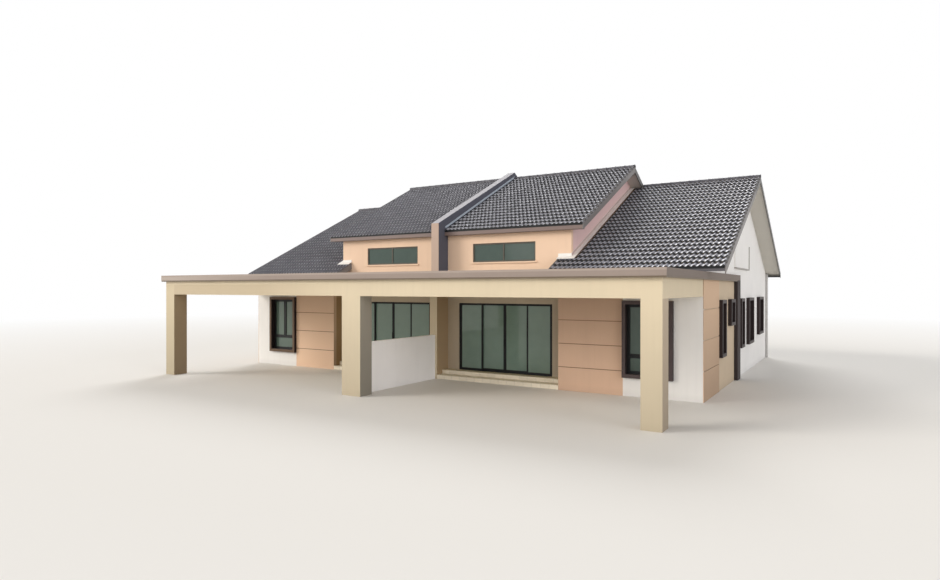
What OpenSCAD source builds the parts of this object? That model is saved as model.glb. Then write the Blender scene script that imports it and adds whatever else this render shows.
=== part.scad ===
// Pair of single-storey houses that share a party wall and one flat carport roof.
// Every piece is drawn for the right-hand house and mirrored for the left-hand one.
// While drawing, X is 0 on the party line, Y is 0 at the front of the columns
// and Z is 0 at ground level. The whole model then moves back by mid_y.

/* [Plan] */
// Party line to the outer face of a side wall
house_w = 9130; // [8900:10:9600]
// Front of the columns to the front wall
carport_d = 4265; // [3900:5:5200]
// Front wall to the rear wall, outer faces
house_d = 13880; // [13500:10:14600]
// Thickness of an outer wall
wall_t = 150; // [110:5:200]
// Thickness of the party wall
party_t = 310; // [230:10:350]
// Width of the entrance recess, from the party wall
recess_w = 4620; // [4500:10:4900]
// Depth of the entrance recess
recess_d = 700; // [600:10:900]

/* [Levels] */
// Floor level
floor_h = 285; // [240:5:330]
// Underside of the carport beams
soffit_h = 2960; // [2920:10:3200]
// Depth of a beam below the slab
beam_h = 360; // [250:10:420]
// Thickness of the carport roof slab
slab_t = 150; // [120:5:170]
// Top of every window surround at ground floor level
window_head_h = 2830; // [2700:10:2870]

/* [Carport] */
// Width of an end column
column_w = 490; // [300:10:600]
// Depth of every column
column_d = 515; // [300:5:700]
// Width of the centre column
centre_column_w = 720; // [400:10:900]
// Width of a beam
beam_w = 250; // [150:10:300]
// Height of the coping band
coping_h = 185; // [100:5:200]
// Reach of the coping in front of the beam
coping_out = 120; // [60:5:200]
// Width of the coping on the slab, behind the face of the beam
coping_in = 180; // [100:5:300]
// Height of the low wall between the two carports
low_wall_h = 1545; // [900:5:2000]
// Thickness of the low wall
low_wall_t = 150; // [100:5:200]
// Depth of the tread in front of the landing
step_going = 335; // [280:5:400]

/* [Wall panels] */
// Front window to the corner of the house
corner_w = 800; // [600:10:1000]
// Height from one groove to the next
panel_h = 735; // [500:5:900]
// Width of a groove
groove_w = 24; // [10:1:40]
// Depth of a groove
groove_d = 14; // [5:1:25]
// Length of the grooved panel on the side wall
side_groove_l = 2290; // [1500:10:2290]
// Height of one board of the side panel
side_board_h = 865; // [600:5:1100]
// Thickness of the side panel
side_board_t = 20; // [10:1:40]
// Wall between the second side window and the band
side_band_gap = 395; // [200:5:600]
// Width of the band on the side wall
side_band_w = 600; // [300:10:650]
// Width of the raised panel on the gable
gable_panel_w = 3060; // [1500:10:3200]
// Height of the raised panel on the gable
gable_panel_h = 870; // [400:10:1100]
// Height of the raised panel above the top of the slab
gable_panel_rise = 460; // [280:10:700]
// How far the raised panel stands proud
gable_panel_out = 50; // [20:5:80]

/* [Sliding door] */
// Party wall to the doorway
door_gap = 465; // [400:5:500]
// Width of the doorway
door_w = 3635; // [3300:5:3700]
// Top of the doorway
door_head_h = 2665; // [2400:5:2800]
// Set-back of the door frame behind the face of the wall
door_set = 40; // [0:5:50]
// Clearance between a leaf and the lips of its channel
track_clear = 5; // [5:1:8]
// Width of a jamb of the door frame
jamb_w = 50; // [30:5:80]
// Depth of the channels in the door head
head_lip_h = 45; // [35:1:60]
// Thickness of the sill, head plate and lips of the door frame
frame_skin = 6; // [4:1:8]
// Height of the rib that the rollers run on
rib_h = 12; // [8:1:18]
// Width of the rib
rib_w = 4; // [3:1:6]
// Thickness of a door leaf
leaf_t = 32; // [28:1:34]
// Width of the stiles of a leaf
stile_w = 50; // [40:1:70]
// Height of the top rail of a leaf
top_rail_h = 60; // [50:1:90]
// Height of the bottom rail of a leaf
bottom_rail_h = 80; // [60:1:120]
// Thickness of the glass in a leaf
door_glass_t = 8; // [5:1:10]
// Clearance between the two sliding leaves when shut
meeting_gap = 6; // [5:1:10]
// Clearance below and above a sliding leaf
leaf_clear = 6; // [5:1:8]
// Radius of a roller
roller_r = 14; // [12:1:18]
// Width of a roller
roller_w = 8; // [6:1:12]
// End of a leaf to its roller
roller_in = 120; // [80:5:200]

/* [Windows] */
// Face width of a window surround
surround_w = 110; // [60:5:150]
// How far a surround stands proud of the wall
surround_out = 120; // [60:5:200]
// Set-back of the sash behind the face of the wall
sash_set = 70; // [20:5:90]
// Depth of a sash
sash_d = 45; // [30:5:60]
// Face width of the sash bars
sash_w = 50; // [35:5:70]
// Thickness of the window glass
glass_t = 6; // [4:1:10]
// Width of the front window, over its surround
front_window_w = 1480; // [1200:10:1700]
// Lower edge of the front window
front_window_z = 550; // [300:10:900]
// Height of the transom of the front window
transom_z = 1190; // [1100:10:1500]
// Wall before each side window, from the corner, a window or the band
side_window_gap = [2295, 885, 370, 1095, 1625]; // [300:5:2400]
// Width of each side window, over its surround
side_window_w = [750, 790, 750, 1290, 1350]; // [600:10:1400]
// Lower edge of each side window
side_window_z = [1040, 1950, 1040, 1040, 1240]; // [900:10:2100]
// Width of each rear window, over its surround
rear_window_w = [1350, 790, 1350, 790]; // [600:10:1400]
// Lower edge of each rear window
rear_window_z = [1240, 1950, 1240, 1950]; // [900:10:2100]
// Windows at least this wide have a mullion
mullion_from_w = 1200; // [1000:10:1500]
// Party wall to the clerestory window
clerestory_window_x = 1050; // [600:10:1500]
// Width of the clerestory window
clerestory_window_w = 2440; // [1500:10:2700]
// Top of the clerestory window to the soffit of the upper eave
clerestory_head_gap = 318; // [100:1:400]
// Height of the clerestory window
clerestory_window_h = 655; // [400:5:750]
// Set-back of the clerestory frame
clerestory_set = 30; // [0:5:60]
// Height of the sill of the clerestory window
sill_h = 50; // [30:5:80]
// How far the sill stands proud
sill_out = 40; // [20:5:80]

/* [Roof] */
// Slope of every roof
roof_pitch = 26; // [24:0.5:28]
// Thickness of the tiles and their battens
tile_t = 60; // [50:1:70]
// Thickness of the rafters and boards under the tiles
deck_t = 110; // [80:5:130]
// Top of the tiles at the upper eave
upper_eave_h = 5300; // [5200:10:5500]
// Reach of the upper eave in front of the clerestory wall
upper_eave_out = 260; // [200:10:400]
// Upper eave to the upper ridge, on plan
upper_run = 5445; // [5200:5:5600]
// Reach of the upper verge past the clerestory side wall
upper_verge_out = 490; // [300:10:600]
// Height of the tiles at the lower eave above the slab
lower_eave_rise = 365; // [340:5:450]
// Reach of the lower eave in front of the front wall
lower_eave_out = 100; // [90:5:150]
// Reach of the verge past the side wall
verge_out = 605; // [400:5:700]
// Width of the lower roof that runs on in front of the clerestory wall
return_w = 455; // [200:5:600]
// Reach of the rear eave past the rear wall
rear_eave_out = 255; // [200:5:500]
// Reach of the tiles past a fascia board
tile_lap = 40; // [20:5:60]
// Thickness of a fascia or barge board
board_t = 25; // [18:1:40]
// Gap between the rafters and the soffit boards of the upper and rear eaves
soffit_gap = 53; // [5:1:80]
// Gap between the rafters and the soffit board of the lower eave
lower_soffit_gap = 3; // [2:1:15]
// Height of a barge board
barge_h = 200; // [170:5:260]
// Thickness of the soffit boards
soffit_t = 12; // [8:1:16]
// Radius of the ridge caps
ridge_r = 110; // [90:5:140]
// Height of the ridge caps above the tiles
ridge_rise = 40; // [20:5:60]
// Width of the flashing on the tiles
flashing_w = 165; // [100:5:250]
// Height of the flashing on the wall
flashing_h = 100; // [60:5:160]
// Thickness of the flashing
flashing_t = 15; // [5:1:25]
// Set-back of the parapet behind the front wall
parapet_set = 95; // [0:5:200]
// Rise of the parapet above the upper eave
parapet_front_rise = 200; // [100:10:400]
// Rise of the parapet above the upper ridge
parapet_rise = 235; // [150:5:300]
// Radius of a rear downpipe
pipe_r = 50; // [35:1:70]

/* [Hidden] */
$fn = 48;

// Allowance by which cutting shapes run past what they cut
cut = 5;
// Gap between a roller and its rib
roller_gap = 0.3;
// Gap between pieces that bed on a slope
seat = 0.3;
tan_pitch = tan(roof_pitch);
cos_pitch = cos(roof_pitch);

// Places on plan
party_x = party_t / 2;
inner_x = house_w - wall_t;
recess_x = party_x + recess_w;
hall_x = recess_x + wall_t;
verge_x = house_w + verge_out;
upper_verge_x = hall_x + upper_verge_out;
return_x = hall_x - return_w;
front_y = carport_d;
room_y = front_y + wall_t;
door_y = front_y + recess_d;
hall_y = door_y + wall_t;
rear_y = front_y + house_d;
rear_inner_y = rear_y - wall_t;
second_end_y = front_y + side_window_gap[0] + side_window_w[0] + side_window_gap[1] + side_window_w[1];
band_y = second_end_y + side_band_gap;
band_end_y = band_y + side_band_w;
panel_x = house_w - corner_w - front_window_w;
panel_w = panel_x - recess_x;

// Levels
slab_z = soffit_h + beam_h;
slab_top_z = slab_z + slab_t;
lower_eave_h = slab_top_z + lower_eave_rise;
gable_panel_z = slab_top_z + gable_panel_rise;

// Roof planes, as heights of the tiles' top over a place on plan
tile_v = tile_t / cos_pitch;
deck_v = deck_t / cos_pitch;
soffit_v = soffit_t / cos_pitch;
deck_top_v = tile_v + seat;
roof_v = tile_v + deck_v;
wall_v = roof_v + seat;
verge_v = wall_v + soffit_v;
upper_eave_y = door_y - upper_eave_out;
upper_ridge_y = upper_eave_y + upper_run;
upper_ridge_z = upper_eave_h + upper_run * tan_pitch;
lower_eave_y = front_y - lower_eave_out;
lower_ridge_y = (upper_ridge_z - lower_eave_h) / (2 * tan_pitch) + (lower_eave_y + upper_ridge_y) / 2;
rear_eave_y = rear_y + rear_eave_out;

function upper_z(y) = upper_eave_h + (y - upper_eave_y) * tan_pitch;
function lower_z(y) = lower_eave_h + (y - lower_eave_y) * tan_pitch;
function rear_z(y) = upper_ridge_z - (y - upper_ridge_y) * tan_pitch;

// Where a line that lies up above the lower tiles meets one that lies down below the rear tiles
function meet_y(up, down) = lower_ridge_y - (up + down) / (2 * tan_pitch);

// Start of each side window, counted from the front, with the band before the third
function side_y(i) = side_window_gap[i] + (
    i == 0 ? front_y :
    i == 2 ? band_end_y :
    side_y(i - 1) + side_window_w[i - 1]
);

// Sum of the first n values of a list
function sum_to(list, n) = n == 0 ? 0 : list[n - 1] + sum_to(list, n - 1);

// Start of each rear window, with equal stretches of wall between them
rear_count = len(rear_window_w);
rear_gap = (inner_x - party_x - sum_to(rear_window_w, rear_count)) / (rear_count + 1);
function rear_x(i) = party_x + (i + 1) * rear_gap + sum_to(rear_window_w, i);

// Fascia boards
upper_fascia_y = upper_eave_y + tile_lap;
lower_fascia_y = lower_eave_y + tile_lap;
rear_fascia_y = rear_eave_y - tile_lap;
upper_fascia_z = upper_z(upper_fascia_y) - deck_top_v;
lower_fascia_z = lower_z(lower_fascia_y) - deck_top_v;
rear_fascia_z = rear_z(rear_fascia_y) - deck_top_v;
upper_deck_y = upper_fascia_y + board_t;
lower_deck_y = lower_fascia_y + board_t;
rear_deck_y = rear_fascia_y - board_t;
upper_low_z = upper_z(upper_deck_y) - wall_v - soffit_gap - soffit_t;
lower_low_z = lower_z(lower_deck_y) - wall_v - lower_soffit_gap - soffit_t;
rear_low_z = rear_z(rear_deck_y) - wall_v - soffit_gap - soffit_t;
clerestory_window_z = upper_low_z - clerestory_head_gap - clerestory_window_h;
upper_board_x = upper_verge_x - board_t;
board_x = verge_x - board_t;

// Middle of the model from front to back, which becomes Y 0
mid_y = (rear_eave_y - coping_out) / 2;

// Sliding door
door_x = party_x + door_gap;
door_end_x = door_x + door_w;
clear_x = door_x + jamb_w;
door_mid_x = door_x + door_w / 2;
leaf_w = (door_mid_x - clear_x - meeting_gap / 2 + stile_w) / 2;
frame_y = door_y + door_set;
track_d = leaf_t + 2 * track_clear;
door_frame_d = 2 * track_d + 3 * frame_skin;
fixed_leaf_y = frame_y + frame_skin + track_clear;
moving_leaf_y = fixed_leaf_y + track_d + frame_skin;
sill_top_z = floor_h + frame_skin;
rib_top_z = sill_top_z + rib_h;
moving_leaf_z = rib_top_z + leaf_clear;
leaf_top_z = door_head_h - frame_skin - leaf_clear;
moving_leaf_x = clear_x + leaf_w - stile_w;

// Colours
CREAM = "#e2d3b4";
TAN = "#c39d7c";
BEIGE = "#cdb08c";
WHITE = "#efece6";
PEACH = "#f0cfae";
BROWN = "#3d3330";
BLACK = "#1d1f1f";
GLASS = "#55665f";
TILE = "#4a454b";
GREY = "#8f8d8e";
STONE = "#d8cdb6";
COPING = "#9b9088";

// Box between two values on each axis
module box(x, y, z) {
    translate([x[0], y[0], z[0]])
        cube([x[1] - x[0], y[1] - y[0], z[1] - z[0]]);
}

// Plate of the outline pts, given as Y and Z, from x[0] to x[1]
module plate(x, pts) {
    translate([x[0], 0, 0])
        rotate([90, 0, 90])
            linear_extrude(x[1] - x[0])
                polygon(pts);
}

// Whole model moved so that Y is 0 at its middle
module place() {
    translate([0, -mid_y, 0])
        children();
}

// Right-hand piece and its mirror image
module pair() {
    place() {
        children();
        mirror([1, 0, 0])
            children();
    }
}

// Layer of a slope that rises backwards, from top to bottom below the tiles' top line
function rising(from_y, to_y, top, bottom, start_z) = let (
    z0 = start_z + (to_y - from_y) * tan_pitch
) [
    [from_y, start_z - bottom], [to_y, z0 - bottom], [to_y, z0 - top], [from_y, start_z - top]
];

// Layer of the slope that falls to the rear
function falling(from_y, to_y, top, bottom) = [
    [from_y, rear_z(from_y) - bottom], [to_y, rear_z(to_y) - bottom],
    [to_y, rear_z(to_y) - top], [from_y, rear_z(from_y) - top]
];

// Layer of the lower slope under the upper verge, cut off below the rear deck
function tucked(from_y, top, bottom) = let (
    low_y = meet_y(-bottom, wall_v),
    top_y = meet_y(-top, wall_v)
) [
    [from_y, lower_z(from_y) - bottom], [low_y, lower_z(low_y) - bottom],
    [top_y, lower_z(top_y) - top], [from_y, lower_z(from_y) - top]
];

// Windows are drawn with X along the wall, Y into the wall and the outer face at Y 0
module window_hole(w, z) {
    box([0, w], [-cut, wall_t + cut], [z, window_head_h]);
}

module surround(w, z) {
    difference() {
        box([0, w], [-surround_out, wall_t], [z, window_head_h]);
        box([surround_w, w - surround_w], [-surround_out - cut, wall_t + cut],
            [z + surround_w, window_head_h - surround_w]);
    }
}

// Mullions and transoms of a window w wide between z0 and z1
module bars(w, z0, z1, transom, y) {
    if (transom > 0)
        box([0, w], y, [transom - sash_w / 2, transom + sash_w / 2]);
    if (w >= mullion_from_w - 2 * surround_w)
        box([w / 2 - sash_w / 2, w / 2 + sash_w / 2], y, [max(z0, transom), z1]);
}

module light_frame(w, z0, z1, transom, set) {
    y = [set, set + sash_d];
    difference() {
        box([0, w], y, [z0, z1]);
        box([sash_w, w - sash_w], [set - cut, set + sash_d + cut], [z0 + sash_w, z1 - sash_w]);
    }
    bars(w, z0 + sash_w, z1 - sash_w, transom, y);
}

module light_glass(w, z0, z1, transom, set) {
    y0 = set + (sash_d - glass_t) / 2;
    difference() {
        box([sash_w, w - sash_w], [y0, y0 + glass_t], [z0 + sash_w, z1 - sash_w]);
        bars(w, z0, z1, transom, [set - cut, set + sash_d + cut]);
    }
}

// Sash or glass that fills a surround
module filling(w, z, transom, glazed) {
    translate([surround_w, 0, 0]) {
        if (glazed)
            light_glass(w - 2 * surround_w, z + surround_w, window_head_h - surround_w, transom, sash_set);
        else
            light_frame(w - 2 * surround_w, z + surround_w, window_head_h - surround_w, transom, sash_set);
    }
}

module at_front_window() {
    translate([panel_x, front_y, 0])
        children();
}

module at_side_window(i) {
    translate([house_w, side_y(i), 0])
        rotate([0, 0, 90])
            children();
}

module at_rear_window(i) {
    translate([rear_x(i) + rear_window_w[i], rear_y, 0])
        rotate([0, 0, 180])
            children();
}

module at_clerestory_window() {
    translate([party_x + clerestory_window_x, door_y, 0])
        children();
}

// One solid of every window: its surround, its sash or its glass
module all_fillings(glazed) {
    at_front_window()
        filling(front_window_w, front_window_z, transom_z, glazed);
    for (i = [0 : len(side_window_w) - 1])
        at_side_window(i)
            filling(side_window_w[i], side_window_z[i], 0, glazed);
    for (i = [0 : len(rear_window_w) - 1])
        at_rear_window(i)
            filling(rear_window_w[i], rear_window_z[i], 0, glazed);
}

// Grooves across a wall panel that runs from 0 to l along X, with its face at Y 0
module grooves(l) {
    for (z = [panel_h : panel_h : soffit_h - panel_h / 2])
        box([-cut, l], [-cut, groove_d], [z - groove_w / 2, z + groove_w / 2]);
}

module floor_slabs() {
    color(STONE)
        pair()
            linear_extrude(floor_h) {
                translate([party_x, hall_y])
                    square([inner_x - party_x, rear_inner_y - hall_y]);
                translate([hall_x, room_y])
                    square([inner_x - hall_x, hall_y - room_y]);
                translate([door_x, door_y])
                    square([door_w, hall_y - door_y]);
            }
}

module porch_steps() {
    color(STONE)
        pair() {
            box([party_x, recess_x], [front_y, front_y + step_going], [0, floor_h / 2]);
            box([party_x, recess_x], [front_y + step_going, door_y], [0, floor_h]);
        }
}

module carport_columns() {
    color(CREAM)
        place() {
            box([-centre_column_w / 2, centre_column_w / 2], [0, column_d], [0, slab_z]);
            for (x = [-house_w, house_w - column_w])
                box([x, x + column_w], [0, column_d], [0, slab_z]);
        }
}

module carport_beams() {
    color(CREAM)
        pair() {
            box([centre_column_w / 2, house_w - column_w], [0, beam_w], [soffit_h, slab_z]);
            box([house_w - beam_w, house_w], [column_d, front_y], [soffit_h, slab_z]);
        }
}

module carport_slab() {
    color(CREAM)
        place()
            translate([0, 0, slab_z])
                linear_extrude(slab_t) {
                    translate([-house_w, 0])
                        square([2 * house_w, front_y]);
                    translate([-recess_x, front_y])
                        square([2 * recess_x, hall_y - front_y]);
                }
}

module coping() {
    color(COPING)
        place()
            translate([0, 0, slab_top_z])
                linear_extrude(coping_h)
                    difference() {
                        translate([-house_w - coping_out, -coping_out])
                            square([2 * (house_w + coping_out), coping_out + band_end_y]);
                        translate([-house_w + coping_in, coping_in])
                            square([2 * (house_w - coping_in), band_end_y]);
                        translate([-house_w, front_y])
                            square([2 * house_w, band_end_y]);
                    }
}

module low_wall() {
    color(WHITE)
        place()
            box([-low_wall_t / 2, low_wall_t / 2], [column_d, front_y], [0, low_wall_h]);
}

module party_wall() {
    parapet_y = front_y + parapet_set;
    color(CREAM)
        place()
            plate([-party_x, party_x], [
                [front_y, 0], [rear_y, 0], [rear_y, rear_low_z], [rear_eave_y, rear_low_z],
                [rear_eave_y, rear_z(rear_eave_y) + parapet_rise],
                [upper_ridge_y, upper_ridge_z + parapet_rise],
                [parapet_y, upper_eave_h + parapet_front_rise], [parapet_y, slab_top_z],
                [hall_y, slab_top_z], [hall_y, slab_z], [front_y, slab_z]
            ]);
}

module front_panels() {
    color(TAN)
        pair()
            difference() {
                box([recess_x, panel_x], [front_y, room_y], [0, lower_z(front_y) - wall_v]);
                translate([recess_x, front_y, 0])
                    grooves(panel_w);
            }
    color(TAN)
        pair()
            side_boards();
}

// Boards one above the other, a groove apart, from the ground to the coping
module side_boards() {
    rows = round(slab_top_z / side_board_h);
    for (i = [0 : rows - 1]) {
        low_z = i == 0 ? 0 : i * side_board_h + groove_w / 2;
        high_z = i == rows - 1 ? slab_top_z : (i + 1) * side_board_h - groove_w / 2;
        box([house_w, house_w + side_board_t], [front_y, front_y + side_groove_l], [low_z, high_z]);
    }
}

module front_walls() {
    color(WHITE)
        pair()
            difference() {
                box([panel_x, house_w], [front_y, room_y], [0, lower_z(front_y) - wall_v]);
                at_front_window()
                    translate([-cut, 0, 0])
                        window_hole(front_window_w + cut, front_window_z);
            }
}

module recess_walls() {
    color(TAN)
        pair()
            plate([recess_x, hall_x], [
                [room_y, 0], [door_y, 0], [door_y, lower_z(door_y) - wall_v],
                [room_y, lower_z(room_y) - wall_v]
            ]);
}

module door_side_walls() {
    color(TAN)
        pair() {
            box([party_x, door_x], [door_y, hall_y], [0, slab_z]);
            box([door_end_x, recess_x], [door_y, hall_y], [0, slab_z]);
            box([recess_x, hall_x], [door_y, hall_y], [0, slab_top_z]);
        }
}

module door_head_walls() {
    color(TAN)
        pair()
            box([door_x, door_end_x], [door_y, hall_y], [door_head_h, slab_z]);
}

module side_holes() {
    for (i = [0 : len(side_window_w) - 1])
        at_side_window(i)
            window_hole(side_window_w[i], side_window_z[i]);
}

module side_panel_walls() {
    color(BEIGE)
        pair()
            difference() {
                box([inner_x, house_w], [room_y, band_y], [0, slab_top_z]);
                side_holes();
            }
}

module side_walls() {
    color(WHITE)
        pair()
            difference() {
                plate([inner_x, house_w], [
                    [band_y, 0], [rear_inner_y, 0], [rear_inner_y, rear_z(rear_inner_y) - wall_v],
                    [lower_ridge_y, rear_z(lower_ridge_y) - wall_v],
                    [room_y, lower_z(room_y) - wall_v], [room_y, slab_top_z], [band_y, slab_top_z]
                ]);
                side_holes();
            }
}

module side_bands() {
    color(BROWN)
        pair()
            box([house_w, house_w + coping_out], [band_y, band_end_y], [0, slab_top_z]);
}

module gable_panels() {
    color(WHITE)
        pair()
            box([house_w, house_w + gable_panel_out],
                [band_y, band_y + gable_panel_w],
                [gable_panel_z, gable_panel_z + gable_panel_h]);
}

module rear_walls() {
    color(WHITE)
        pair()
            difference() {
                box([party_x, house_w], [rear_inner_y, rear_y], [0, rear_z(rear_y) - wall_v]);
                for (i = [0 : len(rear_window_w) - 1])
                    at_rear_window(i)
                        window_hole(rear_window_w[i], rear_window_z[i]);
            }
}

module clerestory_walls() {
    w = clerestory_window_w;
    z = clerestory_window_z;
    color(PEACH)
        pair() {
            difference() {
                box([party_x, hall_x], [door_y, hall_y], [slab_top_z, upper_z(door_y) - wall_v]);
                at_clerestory_window()
                    box([0, w], [-cut, wall_t + cut], [z, z + clerestory_window_h]);
            }
            at_clerestory_window()
                box([-sill_h, w + sill_h], [-sill_out, 0], [z - sill_h, z]);
        }
}

module clerestory_side_walls() {
    color(PEACH)
        pair()
            plate([recess_x, hall_x], [
                [hall_y, soffit_h], [rear_inner_y, soffit_h],
                [rear_inner_y, rear_z(rear_inner_y) - wall_v],
                [upper_ridge_y, upper_ridge_z - wall_v], [hall_y, upper_z(hall_y) - wall_v]
            ]);
}

module upper_roof_decks() {
    color(GREY)
        pair()
            plate([party_x, upper_board_x],
                rising(upper_deck_y, upper_ridge_y, deck_top_v, roof_v, upper_z(upper_deck_y)));
}

module upper_roof_tiles() {
    color(TILE)
        pair()
            plate([party_x, upper_verge_x],
                rising(upper_eave_y, upper_ridge_y, 0, tile_v, upper_eave_h));
}

module lower_roof_decks() {
    start_z = lower_z(lower_deck_y);
    color(GREY)
        pair() {
            plate([return_x + board_t, hall_x], rising(lower_deck_y, door_y, deck_top_v, roof_v, start_z));
            plate([hall_x, upper_board_x], tucked(lower_deck_y, deck_top_v, roof_v));
            plate([upper_board_x, board_x],
                rising(lower_deck_y, lower_ridge_y, deck_top_v, roof_v, start_z));
        }
}

module lower_roof_tiles() {
    color(TILE)
        pair() {
            plate([return_x, hall_x], rising(lower_eave_y, door_y, 0, tile_v, lower_eave_h));
            plate([hall_x, upper_verge_x], tucked(lower_eave_y, 0, tile_v));
            plate([upper_verge_x, verge_x], rising(lower_eave_y, lower_ridge_y, 0, tile_v, lower_eave_h));
        }
}

module rear_roof_decks() {
    color(GREY)
        pair() {
            plate([party_x, upper_board_x], falling(upper_ridge_y, rear_deck_y, deck_top_v, roof_v));
            plate([upper_board_x, board_x], falling(lower_ridge_y, rear_deck_y, deck_top_v, roof_v));
        }
}

module rear_roof_tiles() {
    color(TILE)
        pair() {
            plate([party_x, upper_verge_x], falling(upper_ridge_y, rear_eave_y, 0, tile_v));
            plate([upper_verge_x, verge_x], falling(lower_ridge_y, rear_eave_y, 0, tile_v));
        }
}

// Round cap over a ridge at y and z, seated on both slopes
module ridge_cap(x, y, z) {
    reach = 2 * ridge_r;
    translate([x[0], y, z])
        rotate([90, 0, 90])
            linear_extrude(x[1] - x[0])
                difference() {
                    translate([0, ridge_rise - ridge_r])
                        circle(r = ridge_r);
                    polygon([
                        [0, seat], [reach, seat - reach * tan_pitch], [reach, -2 * reach],
                        [-reach, -2 * reach], [-reach, seat - reach * tan_pitch]
                    ]);
                }
}

module ridge_caps() {
    color(TILE)
        pair() {
            ridge_cap([party_x, upper_verge_x], upper_ridge_y, upper_ridge_z);
            ridge_cap([upper_verge_x, verge_x], lower_ridge_y, rear_z(lower_ridge_y));
        }
}

module barge_boards() {
    top = deck_top_v;
    low = deck_top_v + barge_h;
    // The rear rake of the upper board ends on the lower tiles
    top_end_y = meet_y(seat, top);
    low_end_y = meet_y(seat, low);
    color(GREY)
        pair() {
            plate([upper_board_x, upper_verge_x], [
                [upper_fascia_y, upper_z(upper_fascia_y) - low], [upper_ridge_y, upper_ridge_z - low],
                [low_end_y, rear_z(low_end_y) - low], [top_end_y, rear_z(top_end_y) - top],
                [upper_ridge_y, upper_ridge_z - top], [upper_fascia_y, upper_z(upper_fascia_y) - top]
            ]);
            plate([board_x, verge_x], [
                [lower_fascia_y, lower_z(lower_fascia_y) - low],
                [lower_ridge_y, rear_z(lower_ridge_y) - low],
                [rear_fascia_y, rear_z(rear_fascia_y) - low],
                [rear_fascia_y, rear_z(rear_fascia_y) - top],
                [lower_ridge_y, rear_z(lower_ridge_y) - top],
                [lower_fascia_y, lower_z(lower_fascia_y) - top]
            ]);
            plate([return_x, return_x + board_t],
                rising(lower_fascia_y, door_y, top, low, lower_z(lower_fascia_y)));
        }
}

// Fascia and soffit board of one eave, between two places on X
module eave(fascia_x, soffit_x, fascia_y, soffit_y, z0, z1) {
    box(fascia_x, fascia_y, [z0, z1]);
    box(soffit_x, soffit_y, [z0, z0 + soffit_t]);
}

module eaves_boards() {
    color(GREY)
        pair() {
            eave([party_x, upper_board_x], [party_x, upper_board_x],
                [upper_fascia_y, upper_deck_y], [upper_deck_y, door_y], upper_low_z, upper_fascia_z);
            eave([return_x + board_t, board_x], [recess_x, board_x],
                [lower_fascia_y, lower_deck_y], [lower_deck_y, front_y], lower_low_z, lower_fascia_z);
            eave([party_x, board_x], [party_x, board_x],
                [rear_deck_y, rear_fascia_y], [rear_y, rear_deck_y], rear_low_z, rear_fascia_z);
        }
}

module verge_soffits() {
    low_end_y = meet_y(seat, verge_v);
    end_y = meet_y(seat, wall_v);
    color(STONE)
        pair() {
            plate([house_w, board_x], [
                [front_y, lower_z(front_y) - verge_v], [lower_ridge_y, rear_z(lower_ridge_y) - verge_v],
                [rear_y, rear_z(rear_y) - verge_v], [rear_y, rear_z(rear_y) - wall_v],
                [lower_ridge_y, rear_z(lower_ridge_y) - wall_v], [front_y, lower_z(front_y) - wall_v]
            ]);
            plate([hall_x, upper_board_x], [
                [door_y, upper_z(door_y) - verge_v], [upper_ridge_y, upper_ridge_z - verge_v],
                [low_end_y, rear_z(low_end_y) - verge_v], [end_y, rear_z(end_y) - wall_v],
                [upper_ridge_y, upper_ridge_z - wall_v], [door_y, upper_z(door_y) - wall_v]
            ]);
        }
}

// Flashing on the lower tiles, cut by three planes across X
module roof_flashings() {
    t = seat + flashing_t;
    h = seat + flashing_h;
    apron_y = door_y - flashing_w;
    front_y = door_y - flashing_t;
    foot_z = lower_z(apron_y) + seat;
    end_y = meet_y(seat, verge_v + seat);
    low_end_y = meet_y(t, verge_v + seat);
    high_end_y = meet_y(h, verge_v + seat);
    color(WHITE)
        pair() {
            plate([return_x, hall_x], [
                [apron_y, foot_z], [door_y, lower_z(door_y) + seat], [door_y, lower_z(door_y) + h],
                [front_y, lower_z(door_y) + h], [front_y, lower_z(front_y) + t],
                [apron_y, foot_z + flashing_t]
            ]);
            plate([hall_x, hall_x + flashing_t], [
                [apron_y, foot_z], [end_y, lower_z(end_y) + seat],
                [high_end_y, lower_z(high_end_y) + h], [door_y, lower_z(door_y) + h],
                [front_y, lower_z(door_y) + h], [front_y, lower_z(front_y) + t],
                [apron_y, foot_z + flashing_t]
            ]);
            plate([hall_x + flashing_t, hall_x + flashing_w], [
                [apron_y, foot_z], [end_y, lower_z(end_y) + seat],
                [low_end_y, lower_z(low_end_y) + t], [apron_y, foot_z + flashing_t]
            ]);
        }
}

module downpipes() {
    pipe_y = rear_y - pipe_r - cut;
    color(WHITE)
        pair()
            translate([house_w + pipe_r, pipe_y, 0])
                cylinder(r = pipe_r, h = rear_z(pipe_y + pipe_r) - verge_v - seat);
}

module window_surrounds() {
    color(BROWN)
        pair() {
            at_front_window()
                surround(front_window_w, front_window_z);
            for (i = [0 : len(side_window_w) - 1])
                at_side_window(i)
                    surround(side_window_w[i], side_window_z[i]);
            for (i = [0 : len(rear_window_w) - 1])
                at_rear_window(i)
                    surround(rear_window_w[i], rear_window_z[i]);
        }
}

module window_sashes() {
    z = clerestory_window_z;
    color(BLACK)
        pair() {
            all_fillings(false);
            at_clerestory_window()
                light_frame(clerestory_window_w, z, z + clerestory_window_h, 0, clerestory_set);
        }
}

module window_glass() {
    z = clerestory_window_z;
    color(GLASS)
        pair() {
            all_fillings(true);
            at_clerestory_window()
                light_glass(clerestory_window_w, z, z + clerestory_window_h, 0, clerestory_set);
        }
}

// Frame of one door leaf whose lower outer corner is at x, y and z
module leaf_frame(x, y, z) {
    difference() {
        box([x, x + leaf_w], [y, y + leaf_t], [z, leaf_top_z]);
        box([x + stile_w, x + leaf_w - stile_w], [y - cut, y + leaf_t + cut],
            [z + bottom_rail_h, leaf_top_z - top_rail_h]);
    }
}

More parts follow.
